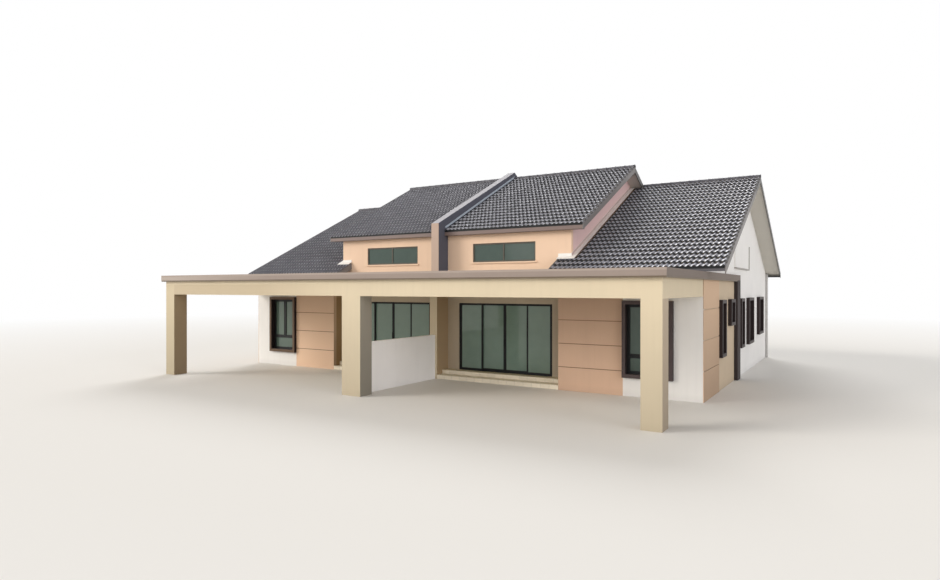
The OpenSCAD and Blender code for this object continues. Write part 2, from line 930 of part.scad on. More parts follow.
module leaf_glass(x, y, z) {
    y0 = y + (leaf_t - door_glass_t) / 2;
    box([x + stile_w, x + leaf_w - stile_w], [y0, y0 + door_glass_t],
        [z + bottom_rail_h, leaf_top_z - top_rail_h]);
}

module roller(x) {
    translate([x, moving_leaf_y + leaf_t / 2, rib_top_z + roller_gap + roller_r])
        rotate([90, 0, 0])
            cylinder(r = roller_r, h = roller_w, center = true);
}

// Right-hand house: the frame with its two fixed leaves
module door_frame() {
    y = [frame_y, frame_y + door_frame_d];
    lip_z = [door_head_h - head_lip_h, door_head_h];
    rib_y = moving_leaf_y + leaf_t / 2;
    box([door_x, clear_x], y, [floor_h, door_head_h]);
    box([door_end_x - jamb_w, door_end_x], y, [floor_h, door_head_h]);
    box([door_x, door_end_x], y, [floor_h, sill_top_z]);
    box([door_x, door_end_x], y, [door_head_h - frame_skin, door_head_h]);
    for (i = [0 : 2]) {
        lip_y = frame_y + i * (track_d + frame_skin);
        box([door_x, door_end_x], [lip_y, lip_y + frame_skin], lip_z);
    }
    box([clear_x, door_end_x - jamb_w], [rib_y - rib_w / 2, rib_y + rib_w / 2], [floor_h, rib_top_z]);
    leaf_frame(clear_x, fixed_leaf_y, sill_top_z);
    leaf_frame(door_end_x - jamb_w - leaf_w, fixed_leaf_y, sill_top_z);
}

module door_frames() {
    color(BLACK)
        pair()
            door_frame();
}

module fixed_door_glass() {
    color(GLASS)
        pair() {
            leaf_glass(clear_x, fixed_leaf_y, sill_top_z);
            leaf_glass(door_end_x - jamb_w - leaf_w, fixed_leaf_y, sill_top_z);
        }
}

// Sliding leaf next to the party wall, in the right-hand house
module inner_leaf() {
    leaf_frame(moving_leaf_x, moving_leaf_y, moving_leaf_z);
    for (x = [moving_leaf_x + roller_in, moving_leaf_x + leaf_w - roller_in])
        roller(x);
}

module inner_glass() {
    leaf_glass(moving_leaf_x, moving_leaf_y, moving_leaf_z);
}

// Mirror image about the middle of the doorway
module about_door() {
    translate([2 * door_mid_x, 0, 0])
        mirror([1, 0, 0])
            children();
}

module right_inner_leaf() {
    color(BLACK)
        place()
            inner_leaf();
}

module right_inner_glass() {
    color(GLASS)
        place()
            inner_glass();
}

module right_outer_leaf() {
    color(BLACK)
        place()
            about_door()
                inner_leaf();
}

module right_outer_glass() {
    color(GLASS)
        place()
            about_door()
                inner_glass();
}

module left_inner_leaf() {
    color(BLACK)
        place()
            mirror([1, 0, 0])
                inner_leaf();
}

module left_inner_glass() {
    color(GLASS)
        place()
            mirror([1, 0, 0])
                inner_glass();
}

module left_outer_leaf() {
    color(BLACK)
        place()
            mirror([1, 0, 0])
                about_door()
                    inner_leaf();
}

module left_outer_glass() {
    color(GLASS)
        place()
            mirror([1, 0, 0])
                about_door()
                    inner_glass();
}

floor_slabs();
porch_steps();
carport_columns();
carport_beams();
carport_slab();
coping();
low_wall();
party_wall();
front_panels();
front_walls();
recess_walls();
door_side_walls();
door_head_walls();
side_panel_walls();
side_walls();
side_bands();
gable_panels();
rear_walls();
clerestory_walls();
clerestory_side_walls();
upper_roof_decks();
lower_roof_decks();
rear_roof_decks();
upper_roof_tiles();
lower_roof_tiles();
rear_roof_tiles();
ridge_caps();
barge_boards();
eaves_boards();
verge_soffits();
roof_flashings();
downpipes();
window_surrounds();
window_sashes();
window_glass();
door_frames();
fixed_door_glass();
right_inner_leaf();
right_inner_glass();
right_outer_leaf();
right_outer_glass();
left_inner_leaf();
left_inner_glass();
left_outer_leaf();
left_outer_glass();
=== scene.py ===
import math
import bmesh
import bpy
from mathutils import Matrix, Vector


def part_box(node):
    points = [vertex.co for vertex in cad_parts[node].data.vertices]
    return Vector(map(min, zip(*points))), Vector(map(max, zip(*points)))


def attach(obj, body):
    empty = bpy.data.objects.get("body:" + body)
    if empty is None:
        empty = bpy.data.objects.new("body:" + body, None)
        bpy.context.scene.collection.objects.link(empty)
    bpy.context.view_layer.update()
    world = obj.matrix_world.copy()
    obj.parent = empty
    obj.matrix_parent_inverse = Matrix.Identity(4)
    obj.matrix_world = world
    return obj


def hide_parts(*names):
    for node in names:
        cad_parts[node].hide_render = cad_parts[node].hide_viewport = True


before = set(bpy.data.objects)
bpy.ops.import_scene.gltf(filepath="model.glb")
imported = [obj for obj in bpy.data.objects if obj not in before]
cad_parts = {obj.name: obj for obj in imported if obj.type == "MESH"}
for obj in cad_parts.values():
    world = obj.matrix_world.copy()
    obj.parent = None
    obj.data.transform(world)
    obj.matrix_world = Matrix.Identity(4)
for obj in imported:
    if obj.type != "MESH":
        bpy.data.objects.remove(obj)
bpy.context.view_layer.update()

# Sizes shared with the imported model, in metres, with Y 0 at its middle
MID_Y = 9.14
PITCH = math.radians(26)
TAN = math.tan(PITCH)
COS = math.cos(PITCH)
PARTY_X = 0.155
HOUSE_X = 9.13
RECESS_X = 4.775
RETURN_X = 4.47
UPPER_VERGE_X = 5.415
VERGE_X = 9.735
FRONT_Y = 4.265 - MID_Y
DOOR_Y = 4.965 - MID_Y
REAR_Y = 18.145 - MID_Y
UPPER_EAVE_Y, UPPER_EAVE_Z = 4.705 - MID_Y, 5.3
UPPER_RIDGE_Y = 10.15 - MID_Y
UPPER_RIDGE_Z = UPPER_EAVE_Z + (UPPER_RIDGE_Y - UPPER_EAVE_Y) * TAN
LOWER_EAVE_Y, LOWER_EAVE_Z = 4.165 - MID_Y, 3.835
REAR_EAVE_Y = 18.4 - MID_Y
REAR_EAVE_Z = UPPER_RIDGE_Z - (REAR_EAVE_Y - UPPER_RIDGE_Y) * TAN
LOWER_RIDGE_Y = (UPPER_RIDGE_Z - LOWER_EAVE_Z) / (2 * TAN) + (LOWER_EAVE_Y + UPPER_RIDGE_Y) / 2
LOWER_RIDGE_Z = LOWER_EAVE_Z + (LOWER_RIDGE_Y - LOWER_EAVE_Y) * TAN
DECK_LAYER = 0.170
FLOOR_Z = 0.285
SURROUND_W = 0.110
HEAD_Z = 2.830
SASH_W = 0.050

# Places where one finish gives way to another
BEAM_LOW_Z = 2.959
CARPORT_TOP_Z = 3.400
SLAB_TOPPING_Z = 3.460
COPING_TOP_Z = 3.600
UPPER_ROOF_Z = 4.000
END_COLUMN_X = 8.0
GROOVE_FLOOR_Y = FRONT_Y + 0.005
REAR_PAINT_Y = REAR_Y - 0.5
# Across the party line, and across the gap before the left-hand end column
LEFT_HOUSE = (0.0, -0.1)
LEFT_COLUMN = (-END_COLUMN_X, -END_COLUMN_X - 0.1)

# Softened edges: how wide in metres, and in how many steps
THIN_EDGE = (0.001, 1)
FINE_EDGE = (0.002, 1)
STRIP_EDGE = (0.003, 1)
SHADOW_STRIP_EDGE = (0.004, 1)
MORTAR_EDGE = (0.020, 2)


# Camera

def make_camera():
    data = bpy.data.cameras.new("camera")
    data.sensor_fit = "HORIZONTAL"
    data.sensor_width = 36
    data.lens = 24.184
    data.clip_end = 1000
    camera = bpy.data.objects.new("camera", data)
    camera.location = (12.814, -23.225, 3.18)
    camera.rotation_euler = [math.radians(a) for a in (89.874, -0.023, 31.614)]
    bpy.context.scene.collection.objects.link(camera)
    bpy.context.scene.camera = camera


# Modelling helpers

def alone(ob):
    """Leaves edit mode with only this object selected and active."""
    if bpy.context.object and bpy.context.object.mode != "OBJECT":
        bpy.ops.object.mode_set(mode="OBJECT")
    bpy.ops.object.select_all(action="DESELECT")
    ob.select_set(True)
    bpy.context.view_layer.objects.active = ob


def edit(ob, mode="FACE"):
    alone(ob)
    bpy.ops.object.mode_set(mode="EDIT")
    bpy.ops.mesh.select_mode(type=mode)
    bpy.ops.mesh.select_all(action="DESELECT")


def done():
    bpy.ops.object.mode_set(mode="OBJECT")


def pick(ob, kind, test):
    """In edit mode, selects the verts, edges or faces that pass the test."""
    mesh = bmesh.from_edit_mesh(ob.data)
    for e in getattr(mesh, kind):
        if test(e):
            e.select_set(True)
    mesh.select_flush_mode()
    bmesh.update_edit_mesh(ob.data)


def block(name, lo, hi, bevel=0.0, segments=2):
    """A cuboid from corner lo to corner hi with softened edges."""
    bpy.ops.object.select_all(action="DESELECT")
    middle = [(a + b) / 2 for a, b in zip(lo, hi)]
    bpy.ops.mesh.primitive_cube_add(size=1, location=middle)
    ob = bpy.context.object
    ob.name = ob.data.name = name
    ob.scale = [b - a for a, b in zip(lo, hi)]
    settle(ob)
    if bevel:
        soften(ob, bevel, segments)
    return ob


def settle(ob):
    """Puts an object's place, turn and size into its mesh."""
    alone(ob)
    bpy.ops.object.transform_apply(location=True, rotation=True, scale=True)
    return ob


def soften(ob, width, segments=2, angle=35):
    add_modifier(ob, "BEVEL", width=width, segments=segments, limit_method="ANGLE",
                 angle_limit=math.radians(angle))
    return ob


def add_modifier(ob, kind, **settings):
    """Adds a modifier with its settings and applies it."""
    alone(ob)
    mod = ob.modifiers.new(kind.lower(), kind)
    for key, value in settings.items():
        setattr(mod, key, value)
    bpy.ops.object.modifier_apply(modifier=mod.name)
    return ob


def repeated(ob, count, step):
    """Adds copies of a mesh, each a step on from the last."""
    return add_modifier(ob, "ARRAY", count=count, use_relative_offset=False, use_constant_offset=True,
                        constant_offset_displace=step)


def join(name, obs):
    alone(obs[0])
    for ob in obs[1:]:
        ob.select_set(True)
    bpy.ops.object.join()
    ob = bpy.context.object
    ob.name = ob.data.name = name
    return ob


def both_houses(ob):
    """Adds the mirror image about the party line."""
    add_modifier(ob, "MIRROR", use_axis=(True, False, False), use_mirror_merge=False)
    return ob


def window_frame(name, lo, hi, border, bevel=0.002):
    """A flat frame in the XZ plane: a cuboid with its middle bridged away."""
    ob = block(name, lo, hi)
    edit(ob)
    pick(ob, "faces", lambda f: abs(f.normal.y) > 0.9)
    bpy.ops.mesh.inset(thickness=border, use_individual=True)
    bpy.ops.mesh.bridge_edge_loops()
    done()
    return soften(ob, bevel, 1)


def cut(ob, point, normal):
    """Cuts a mesh by a plane, closes the cut and drops what lies in front of it."""
    edit(ob)
    bpy.ops.mesh.select_all(action="SELECT")
    bpy.ops.mesh.bisect(plane_co=point, plane_no=normal, use_fill=True, clear_outer=True)
    done()
    return ob


def finish_piece(ob, material, smooth=None, body="building", stands_for=()):
    ob.data.materials.clear()
    ob.data.materials.append(material)
    if smooth:
        alone(ob)
        bpy.ops.object.shade_smooth_by_angle(angle=math.radians(smooth))
    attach(ob, body)
    if stands_for:
        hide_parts(*stands_for)
    return ob


# Material helpers

def linear(code):
    """Turns an sRGB hex colour into linear values."""
    out = []
    for i in (1, 3, 5):
        c = int(code[i:i + 2], 16) / 255
        out.append(c / 12.92 if c <= 0.04045 else ((c + 0.055) / 1.055) ** 2.4)
    return (*out, 1.0)


def new_material(name):
    material = bpy.data.materials.new(name)
    material.use_nodes = True
    tree = material.node_tree
    return material, tree, tree.nodes["Principled BSDF"]


def add(tree, kind, inputs=None, **settings):
    """Adds a node, gives it its settings, and sets or links its inputs."""
    node = tree.nodes.new(kind)
    for key, value in settings.items():
        setattr(node, key, value)
    for key, value in (inputs or {}).items():
        if isinstance(value, bpy.types.NodeSocket):
            tree.links.new(value, node.inputs[key])
        else:
            node.inputs[key].default_value = value
    return node


def set_shader(tree, shader, **inputs):
    """Sets or links the shader's sockets, named with _ for a space."""
    for key, value in inputs.items():
        socket = shader.inputs[key.replace("_", " ")]
        if isinstance(value, bpy.types.NodeSocket):
            tree.links.new(value, socket)
        else:
            socket.default_value = value


# Settings of a colour mix, whose colours go in at 6 and 7 and come out at 2
MIX = {"data_type": "RGBA", "blend_type": "MIX"}
MULTIPLY = {"data_type": "RGBA", "blend_type": "MULTIPLY"}
X, Y, Z = 0, 1, 2
# What dust and painted shade leave of a tile's colour, and how much of the clouds and marks shows in a
# second colour
DUST_AND_SHADE = (0.04, 0.04, 0.04, 1)
MARK_SHARE = 0.12


def painted_render(name, code, stain=0.10):
    """Masonry paint on trowelled sand and cement: matt, faintly uneven, a little dusty low down."""
    material, tree, shader = new_material(name)
    place = add(tree, "ShaderNodeTexCoord").outputs["Object"]
    # Tone drifts over about a metre, as between lifts of the plaster
    cloud = add(tree, "ShaderNodeTexNoise", {"Vector": place, "Scale": 0.9, "Detail": 3.0})
    tone = add(tree, "ShaderNodeMapRange", {"Value": cloud.outputs[0], "From Min": 0.3, "From Max": 0.7,
                                            "To Min": 0.955, "To Max": 1.0})
    # Rain marks run down the wall, about 120 mm wide
    squeezed = add(tree, "ShaderNodeMapping", {"Vector": place, "Scale": (5.0, 5.0, 0.25)})
    streak = add(tree, "ShaderNodeTexNoise", {"Vector": squeezed.outputs[0], "Scale": 1.6, "Detail": 2.0})
    mark = add(tree, "ShaderNodeMapRange", {"Value": streak.outputs[0], "From Min": 0.5, "From Max": 0.8,
                                            "To Min": 1.0, "To Max": 0.965})
    # Splashed dust on the lowest 220 mm
    foot = add(tree, "ShaderNodeMapRange", {"Value": along(material, Z), "From Min": 0.0,
                                            "From Max": 0.22, "To Min": 1 - stain, "To Max": 1.0})
    both = add(tree, "ShaderNodeMath", {0: tone.outputs[0], 1: mark.outputs[0]}, operation="MULTIPLY")
    whole = add(tree, "ShaderNodeMath", {0: both.outputs[0], 1: foot.outputs[0]}, operation="MULTIPLY")
    colour = add(tree, "ShaderNodeMix", {0: 1.0, 6: linear(code), 7: whole.outputs[0]}, **MULTIPLY)
    # Sand grains of 1 to 2 mm are drawn at 8 mm so that they show
    sand = add(tree, "ShaderNodeTexNoise", {"Vector": place, "Scale": 125.0, "Detail": 2.0})
    trowel = add(tree, "ShaderNodeTexNoise", {"Vector": place, "Scale": 5.0, "Detail": 1.0})
    relief = add(tree, "ShaderNodeMath", {0: trowel.outputs[0], 1: 2.0, 2: sand.outputs[0]},
                 operation="MULTIPLY_ADD")
    bump = add(tree, "ShaderNodeBump", {"Height": relief.outputs[0], "Strength": 0.35, "Distance": 0.002})
    rough = add(tree, "ShaderNodeMapRange", {"Value": sand.outputs[0], "To Min": 0.72, "To Max": 0.88})
    set_shader(tree, shader, Base_Color=colour.outputs[2], Roughness=rough.outputs[0],
               Normal=bump.outputs[0])
    return material


def along(material, axis):
    """The place along an axis, in metres."""
    place = add(material.node_tree, "ShaderNodeTexCoord").outputs["Object"]
    return add(material.node_tree, "ShaderNodeSeparateXYZ", {"Vector": place}).outputs[axis]


def facing(material, axis, least=0.5):
    """1 where a face is turned to either end of an axis, else 0."""
    tree = material.node_tree
    normal = add(tree, "ShaderNodeNewGeometry").outputs["True Normal"]
    turned = add(tree, "ShaderNodeSeparateXYZ", {"Vector": normal}).outputs[axis]
    size = add(tree, "ShaderNodeMath", {0: turned}, operation="ABSOLUTE")
    return add(tree, "ShaderNodeMath", {0: size.outputs[0], 1: least}, operation="GREATER_THAN").outputs[0]


def beyond(material, axis, least):
    """1 where the place along an axis is past a value in metres, else 0."""
    return add(material.node_tree, "ShaderNodeMath", {0: along(material, axis), 1: least},
               operation="GREATER_THAN").outputs[0]


def short_of(material, axis, most):
    """1 where the place along an axis is before a value in metres, else 0."""
    return add(material.node_tree, "ShaderNodeMath", {0: along(material, axis), 1: most},
               operation="LESS_THAN").outputs[0]


def toward_left(material, x0, x1):
    """0 at x0, rising to 1 at x1 and on, in metres along X."""
    return add(material.node_tree, "ShaderNodeMapRange", {"Value": along(material, X), "From Min": x0,
                                                          "From Max": x1}).outputs[0]


def repaint(material, code, *where):
    """Lays a second colour over a finish where every factor is 1, keeping its clouds and marks."""
    tree = material.node_tree
    colour = tree.nodes["Principled BSDF"].inputs["Base Color"]
    before = colour.links[0].from_socket
    factor = where[0]
    for other in where[1:]:
        factor = add(tree, "ShaderNodeMath", {0: factor, 1: other}, operation="MULTIPLY").outputs[0]
    marked = add(tree, "ShaderNodeMix", {0: MARK_SHARE, 6: linear(code), 7: before}, **MULTIPLY)
    after = add(tree, "ShaderNodeMix", {0: factor, 6: before, 7: marked.outputs[2]}, **MIX)
    tree.links.new(after.outputs[2], colour)
    return material


def dulled(material, clear, dull, low, where=1.0):
    """Dulls a finish little by little, from its full colour at one height to a low share at another."""
    tree = material.node_tree
    colour = tree.nodes["Principled BSDF"].inputs["Base Color"]
    before = colour.links[0].from_socket
    shade = add(tree, "ShaderNodeMapRange", {"Value": along(material, Z), "From Min": dull,
                                             "From Max": clear, "To Min": low})
    after = add(tree, "ShaderNodeMix", {0: where, 6: before, 7: shade.outputs[0]}, **MULTIPLY)
    tree.links.new(after.outputs[2], colour)
    return material


def parapet_render():
    """The party wall: cream below with painted shade on its flanks, white at the back, and over the roofs
    pink-grey with dark sides.
    """
    material = painted_render("parapet_masonry_paint", "#d6c8ac")
    flank = facing(material, X)
    over = beyond(material, Z, CARPORT_TOP_Z)
    repaint(material, "#ae9676", flank)
    repaint(material, "#c2ab9c", over)
    repaint(material, "#efedea", beyond(material, Y, REAR_PAINT_Y))
    repaint(material, "#53545f", flank, over)
    return repaint(material, "#b0b0b6", facing(material, Z))


def column_render():
    """Cream masonry paint, darker towards the left as painted shade and darker towards the bottom, with the
    flanks of the columns taupe up to the beams, the centre and left-hand ones darker with painted shade.
    """
    material = painted_render("column_masonry_paint", "#d6c7ab")
    repaint(material, "#cec0a4", toward_left(material, -1.0, -7.0))
    flank = facing(material, X)
    under = short_of(material, Z, BEAM_LOW_Z)
    repaint(material, "#9b9588", flank, under)
    repaint(material, "#968265", flank, under, toward_left(material, *LEFT_COLUMN))
    repaint(material, "#bfae98", flank, under, beyond(material, X, END_COLUMN_X))
    return dulled(material, clear=2.9, dull=0.3, low=0.76)


def panel_render():
    """Tan masonry paint, darker towards the bottom of its flanks, with painted shade on the flanks, towards
    the top of the front under the soffit and in the grooves, and painted light on the left-hand house.
    """
    material = painted_render("tan_masonry_paint", "#dcbaa0")
    tree = material.node_tree
    flank = facing(material, X)
    front = facing(material, Y)
    repaint(material, "#e9caae", toward_left(material, *LEFT_HOUSE))
    repaint(material, "#d2b598", flank)
    dulled(material, clear=3.0, dull=0.3, low=0.72, where=flank)
    dulled(material, clear=0.9, dull=3.0, low=0.72, where=front)
    # Painted shade on the floors of the grooves and on every face that looks up or down
    floor = add(tree, "ShaderNodeMath", {0: front, 1: beyond(material, Y, GROOVE_FLOOR_Y)},
                operation="MULTIPLY")
    groove = add(tree, "ShaderNodeMath", {0: floor.outputs[0], 1: facing(material, Z)},
                 operation="MAXIMUM")
    return repaint(material, "#967861", groove.outputs[0])


def coping_render():
    """Taupe masonry paint, with painted light paler on top and towards the left, and painted shade on the
    two sides of the building.
    """
    material = painted_render("taupe_coping_paint", "#96887f", stain=0.0)
    repaint(material, "#b5a99f", toward_left(material, -3.5, -8.5))
    repaint(material, "#aa9c92", beyond(material, Z, COPING_TOP_Z))
    return repaint(material, "#7f746c", facing(material, X))


def concrete_tile(name, dark, light, right, left, gloss=0.7):
    """Through-coloured concrete roof tile with an acrylic coat: charcoal, satin, each a shade apart; the
    pale grey of the crests is a painted highlight of the coat.

    Dust and painted shade darken the pans, the steep side of each roll, the part under the tile above and
    the open ends; on each house they have one strength in the pans and one under the tile above.
    """
    material, tree, shader = new_material(name)
    place = add(tree, "ShaderNodeTexCoord").outputs["Object"]
    each = add(tree, "ShaderNodeNewGeometry").outputs["Random Per Island"]
    shade = add(tree, "ShaderNodeMapRange", {"Value": each, "To Min": 0.82, "To Max": 1.12})
    # Weathering over some 400 mm
    patch = add(tree, "ShaderNodeTexNoise", {"Vector": place, "Scale": 2.4, "Detail": 4.0})
    tint = add(tree, "ShaderNodeMix", {0: patch.outputs[0], 6: linear(dark), 7: linear(light)}, **MIX)
    own = add(tree, "ShaderNodeMix", {0: 1.0, 6: tint.outputs[2], 7: shade.outputs[0]}, **MULTIPLY)
    # Dust and painted shade darken the pans, the steep side of each roll and the part under the tile above
    uv = add(tree, "ShaderNodeSeparateXYZ", {"Vector": add(tree, "ShaderNodeTexCoord").outputs["UV"]})
    turn = add(tree, "ShaderNodeMath", {0: uv.outputs[0], 1: 4 * math.pi, 2: -1.65 * math.pi},
               operation="MULTIPLY_ADD")
    wave = add(tree, "ShaderNodeMath", {0: turn.outputs[0]}, operation="COSINE")
    on_right = beyond(material, X, 0.0)
    pan_most = add(tree, "ShaderNodeMapRange", {"Value": on_right, "To Min": left[0], "To Max": right[0]})
    lap_most = add(tree, "ShaderNodeMapRange", {"Value": on_right, "To Min": left[1], "To Max": right[1]})
    pan = add(tree, "ShaderNodeMapRange", {"Value": wave.outputs[0], "From Min": 0.0, "From Max": 0.7,
                                           "To Max": pan_most.outputs[0]})
    lap = add(tree, "ShaderNodeMapRange", {"Value": uv.outputs[1], "From Min": 0.42, "From Max": 0.52,
                                           "To Max": lap_most.outputs[0]})
    spread = add(tree, "ShaderNodeMath", {0: pan.outputs[0], 1: lap.outputs[0]}, operation="MAXIMUM")
    # Painted shade on the open ends of the tiles, standing for the dark hollows under the rolls
    butt = add(tree, "ShaderNodeMath", {0: facing(material, Y, least=0.75), 1: lap_most.outputs[0]},
               operation="MULTIPLY")
    dust = add(tree, "ShaderNodeMath", {0: spread.outputs[0], 1: butt.outputs[0]}, operation="MAXIMUM")
    dusty = add(tree, "ShaderNodeMix", {0: 1.0, 6: own.outputs[2], 7: DUST_AND_SHADE}, **MULTIPLY)
    colour = add(tree, "ShaderNodeMix", {0: dust.outputs[0], 6: own.outputs[2], 7: dusty.outputs[2]}, **MIX)
    # Coarse sand in the concrete, drawn at 5 mm
    grain = add(tree, "ShaderNodeTexNoise", {"Vector": place, "Scale": 200.0, "Detail": 2.0})
    bump = add(tree, "ShaderNodeBump", {"Height": grain.outputs[0], "Strength": 0.3, "Distance": 0.001})
    # Where the dust and painted shade lie the coat has lost its shine
    rough = add(tree, "ShaderNodeMapRange", {"Value": dust.outputs[0], "To Min": 0.32, "To Max": 0.9})
    coat = add(tree, "ShaderNodeMapRange", {"Value": dust.outputs[0], "To Min": 0.4 * gloss, "To Max": 0.0})
    set_shader(tree, shader, Base_Color=colour.outputs[2], Roughness=rough.outputs[0],
               Normal=bump.outputs[0], Specular_IOR_Level=gloss, Coat_Weight=coat.outputs[0],
               Coat_Roughness=0.32)
    return material


def painted_board(name, code, rough=0.45):
    """Gloss paint on fibre cement board: smooth, with faint brush marks."""
    material, tree, shader = new_material(name)
    place = add(tree, "ShaderNodeTexCoord").outputs["Object"]
    cloud = add(tree, "ShaderNodeTexNoise", {"Vector": place, "Scale": 1.5, "Detail": 3.0})
    tone = add(tree, "ShaderNodeMapRange", {"Value": cloud.outputs[0], "To Min": 0.93, "To Max": 1.04})
    colour = add(tree, "ShaderNodeMix", {0: 1.0, 6: linear(code), 7: tone.outputs[0]}, **MULTIPLY)
    brush = add(tree, "ShaderNodeTexNoise", {"Vector": place, "Scale": 60.0, "Detail": 2.0})
    bump = add(tree, "ShaderNodeBump", {"Height": brush.outputs[0], "Strength": 0.15, "Distance": 0.001})
    set_shader(tree, shader, Base_Color=colour.outputs[2], Roughness=rough, Normal=bump.outputs[0])
    return material


def powder_coat(name, code, shine=0.25):
    """Powder-coated aluminium: even satin colour with a fine orange-peel skin."""
    material, tree, shader = new_material(name)
    place = add(tree, "ShaderNodeTexCoord").outputs["Object"]
    # Orange peel of about 2 mm, drawn at 4 mm
    peel = add(tree, "ShaderNodeTexNoise", {"Vector": place, "Scale": 250.0, "Detail": 1.0})
    bump = add(tree, "ShaderNodeBump", {"Height": peel.outputs[0], "Strength": 0.12, "Distance": 0.0005})
    dust = add(tree, "ShaderNodeTexNoise", {"Vector": place, "Scale": 3.0, "Detail": 4.0})
    colour = add(tree, "ShaderNodeMix", {0: dust.outputs[0], 6: linear(code), 7: linear(lighter(code))},
                 **MIX)
    rough = add(tree, "ShaderNodeMapRange", {"Value": dust.outputs[0], "To Min": 0.40, "To Max": 0.54})
    set_shader(tree, shader, Base_Color=colour.outputs[2], Roughness=rough.outputs[0],
               Normal=bump.outputs[0], Specular_IOR_Level=shine)
    return material


def lighter(code, amount=14):
    """A colour that many levels of 255 lighter."""
    return "#" + "".join(f"{min(255, int(code[i:i + 2], 16) + amount):02x}" for i in (1, 3, 5))


def surround_coat():
    """Brown powder coat, with painted shade on its flanks and side windows, and painted light on the
    left-hand house's front faces, paler and browner.
    """
    material = powder_coat("brown_powder_coat", "#4a4040", shine=0.15)
    repaint(material, "#2c2424", facing(material, X))
    repaint(material, "#352c2c", beyond(material, X, HOUSE_X))
    return repaint(material, "#6a5748", toward_left(material, *LEFT_HOUSE), facing(material, Y))


def tinted_glass(name, dark, light):
    """Green body-tinted float glass, close to opaque from outside by day."""
    material, tree, shader = new_material(name)
    place = add(tree, "ShaderNodeTexCoord").outputs["Object"]
    # Float glass is never quite flat, so reflections waver over half a metre
    wave = add(tree, "ShaderNodeTexNoise", {"Vector": place, "Scale": 2.0, "Detail": 1.0})
    bump = add(tree, "ShaderNodeBump", {"Height": wave.outputs[0], "Strength": 0.1, "Distance": 0.004})
    film = add(tree, "ShaderNodeTexNoise", {"Vector": place, "Scale": 4.0, "Detail": 3.0})
    colour = add(tree, "ShaderNodeMix", {0: film.outputs[0], 6: linear(dark), 7: linear(light)}, **MIX)
    set_shader(tree, shader, Base_Color=colour.outputs[2], Roughness=0.06, IOR=1.52,
               Transmission_Weight=0.1, Normal=bump.outputs[0])
    return material


def sheet_metal(name, dark, light):
    """Painted steel flashing: pale, with faint oil-canning and a satin face."""
    material, tree, shader = new_material(name)
    place = add(tree, "ShaderNodeTexCoord").outputs["Object"]
    swell = add(tree, "ShaderNodeTexNoise", {"Vector": place, "Scale": 3.0, "Detail": 1.0})
    bump = add(tree, "ShaderNodeBump", {"Height": swell.outputs[0], "Strength": 0.3, "Distance": 0.006})
    colour = add(tree, "ShaderNodeMix", {0: swell.outputs[0], 6: linear(dark), 7: linear(light)}, **MIX)
    set_shader(tree, shader, Base_Color=colour.outputs[2], Roughness=0.42, Metallic=0.1,
               Normal=bump.outputs[0])
    return material


def rough_concrete(name, code):
    """Cement mortar and screed: grey, granular and matt."""
    material, tree, shader = new_material(name)
    place = add(tree, "ShaderNodeTexCoord").outputs["Object"]
    spot = add(tree, "ShaderNodeTexNoise", {"Vector": place, "Scale": 12.0, "Detail": 6.0})
    pale = lighter(code, amount=26)
    colour = add(tree, "ShaderNodeMix", {0: spot.outputs[0], 6: linear(code), 7: linear(pale)}, **MIX)
    bump = add(tree, "ShaderNodeBump", {"Height": spot.outputs[0], "Strength": 0.5, "Distance": 0.003})
    set_shader(tree, shader, Base_Color=colour.outputs[2], Roughness=0.9, Normal=bump.outputs[0])
    return material


def floor_tile():
    """Glazed homogeneous floor tile: cream, softly mottled, satin."""
    material, tree, shader = new_material("cream_floor_tile")
    place = add(tree, "ShaderNodeTexCoord").outputs["Object"]
    each = add(tree, "ShaderNodeNewGeometry").outputs["Random Per Island"]
    mottle = add(tree, "ShaderNodeTexNoise", {"Vector": place, "Scale": 30.0, "Detail": 5.0})
    cream = add(tree, "ShaderNodeMix", {0: mottle.outputs[0], 6: linear("#f0e4cc"), 7: linear("#fbf3e2")},
                **MIX)
    shade = add(tree, "ShaderNodeMapRange", {"Value": each, "To Min": 0.94, "To Max": 1.03})
    colour = add(tree, "ShaderNodeMix", {0: 1.0, 6: cream.outputs[2], 7: shade.outputs[0]}, **MULTIPLY)
    set_shader(tree, shader, Base_Color=colour.outputs[2], Roughness=0.35)
    # The treads are a little darker than the risers
    return repaint(material, "#ddd2b6", facing(material, Z))


def sawn_timber():
    """Sawn softwood under the tiles: yellow-brown, with grain about 12 mm wide."""
    material, tree, shader = new_material("sawn_softwood")
    place = add(tree, "ShaderNodeTexCoord").outputs["Object"]
    drawn = add(tree, "ShaderNodeMapping", {"Vector": place, "Scale": (1.0, 14.0, 14.0)})
    grain = add(tree, "ShaderNodeTexNoise", {"Vector": drawn.outputs[0], "Scale": 6.0, "Detail": 4.0})
    colour = add(tree, "ShaderNodeMix", {0: grain.outputs[0], 6: linear("#7a6248"), 7: linear("#9c835f")},
                 **MIX)
    bump = add(tree, "ShaderNodeBump", {"Height": grain.outputs[0], "Strength": 0.3, "Distance": 0.001})
    set_shader(tree, shader, Base_Color=colour.outputs[2], Roughness=0.8, Normal=bump.outputs[0])
    return material


def pipe_plastic():
    """Extruded uPVC rainwater pipe: grey, smooth and slightly shiny."""
    material, tree, shader = new_material("grey_upvc")
    place = add(tree, "ShaderNodeTexCoord").outputs["Object"]
    fade = add(tree, "ShaderNodeTexNoise", {"Vector": place, "Scale": 2.0, "Detail": 3.0})
    colour = add(tree, "ShaderNodeMix", {0: fade.outputs[0], 6: linear("#b2b0ad"), 7: linear("#c4c2bf")},
                 **MIX)
    set_shader(tree, shader, Base_Color=colour.outputs[2], Roughness=0.38)
    return material


# Materials

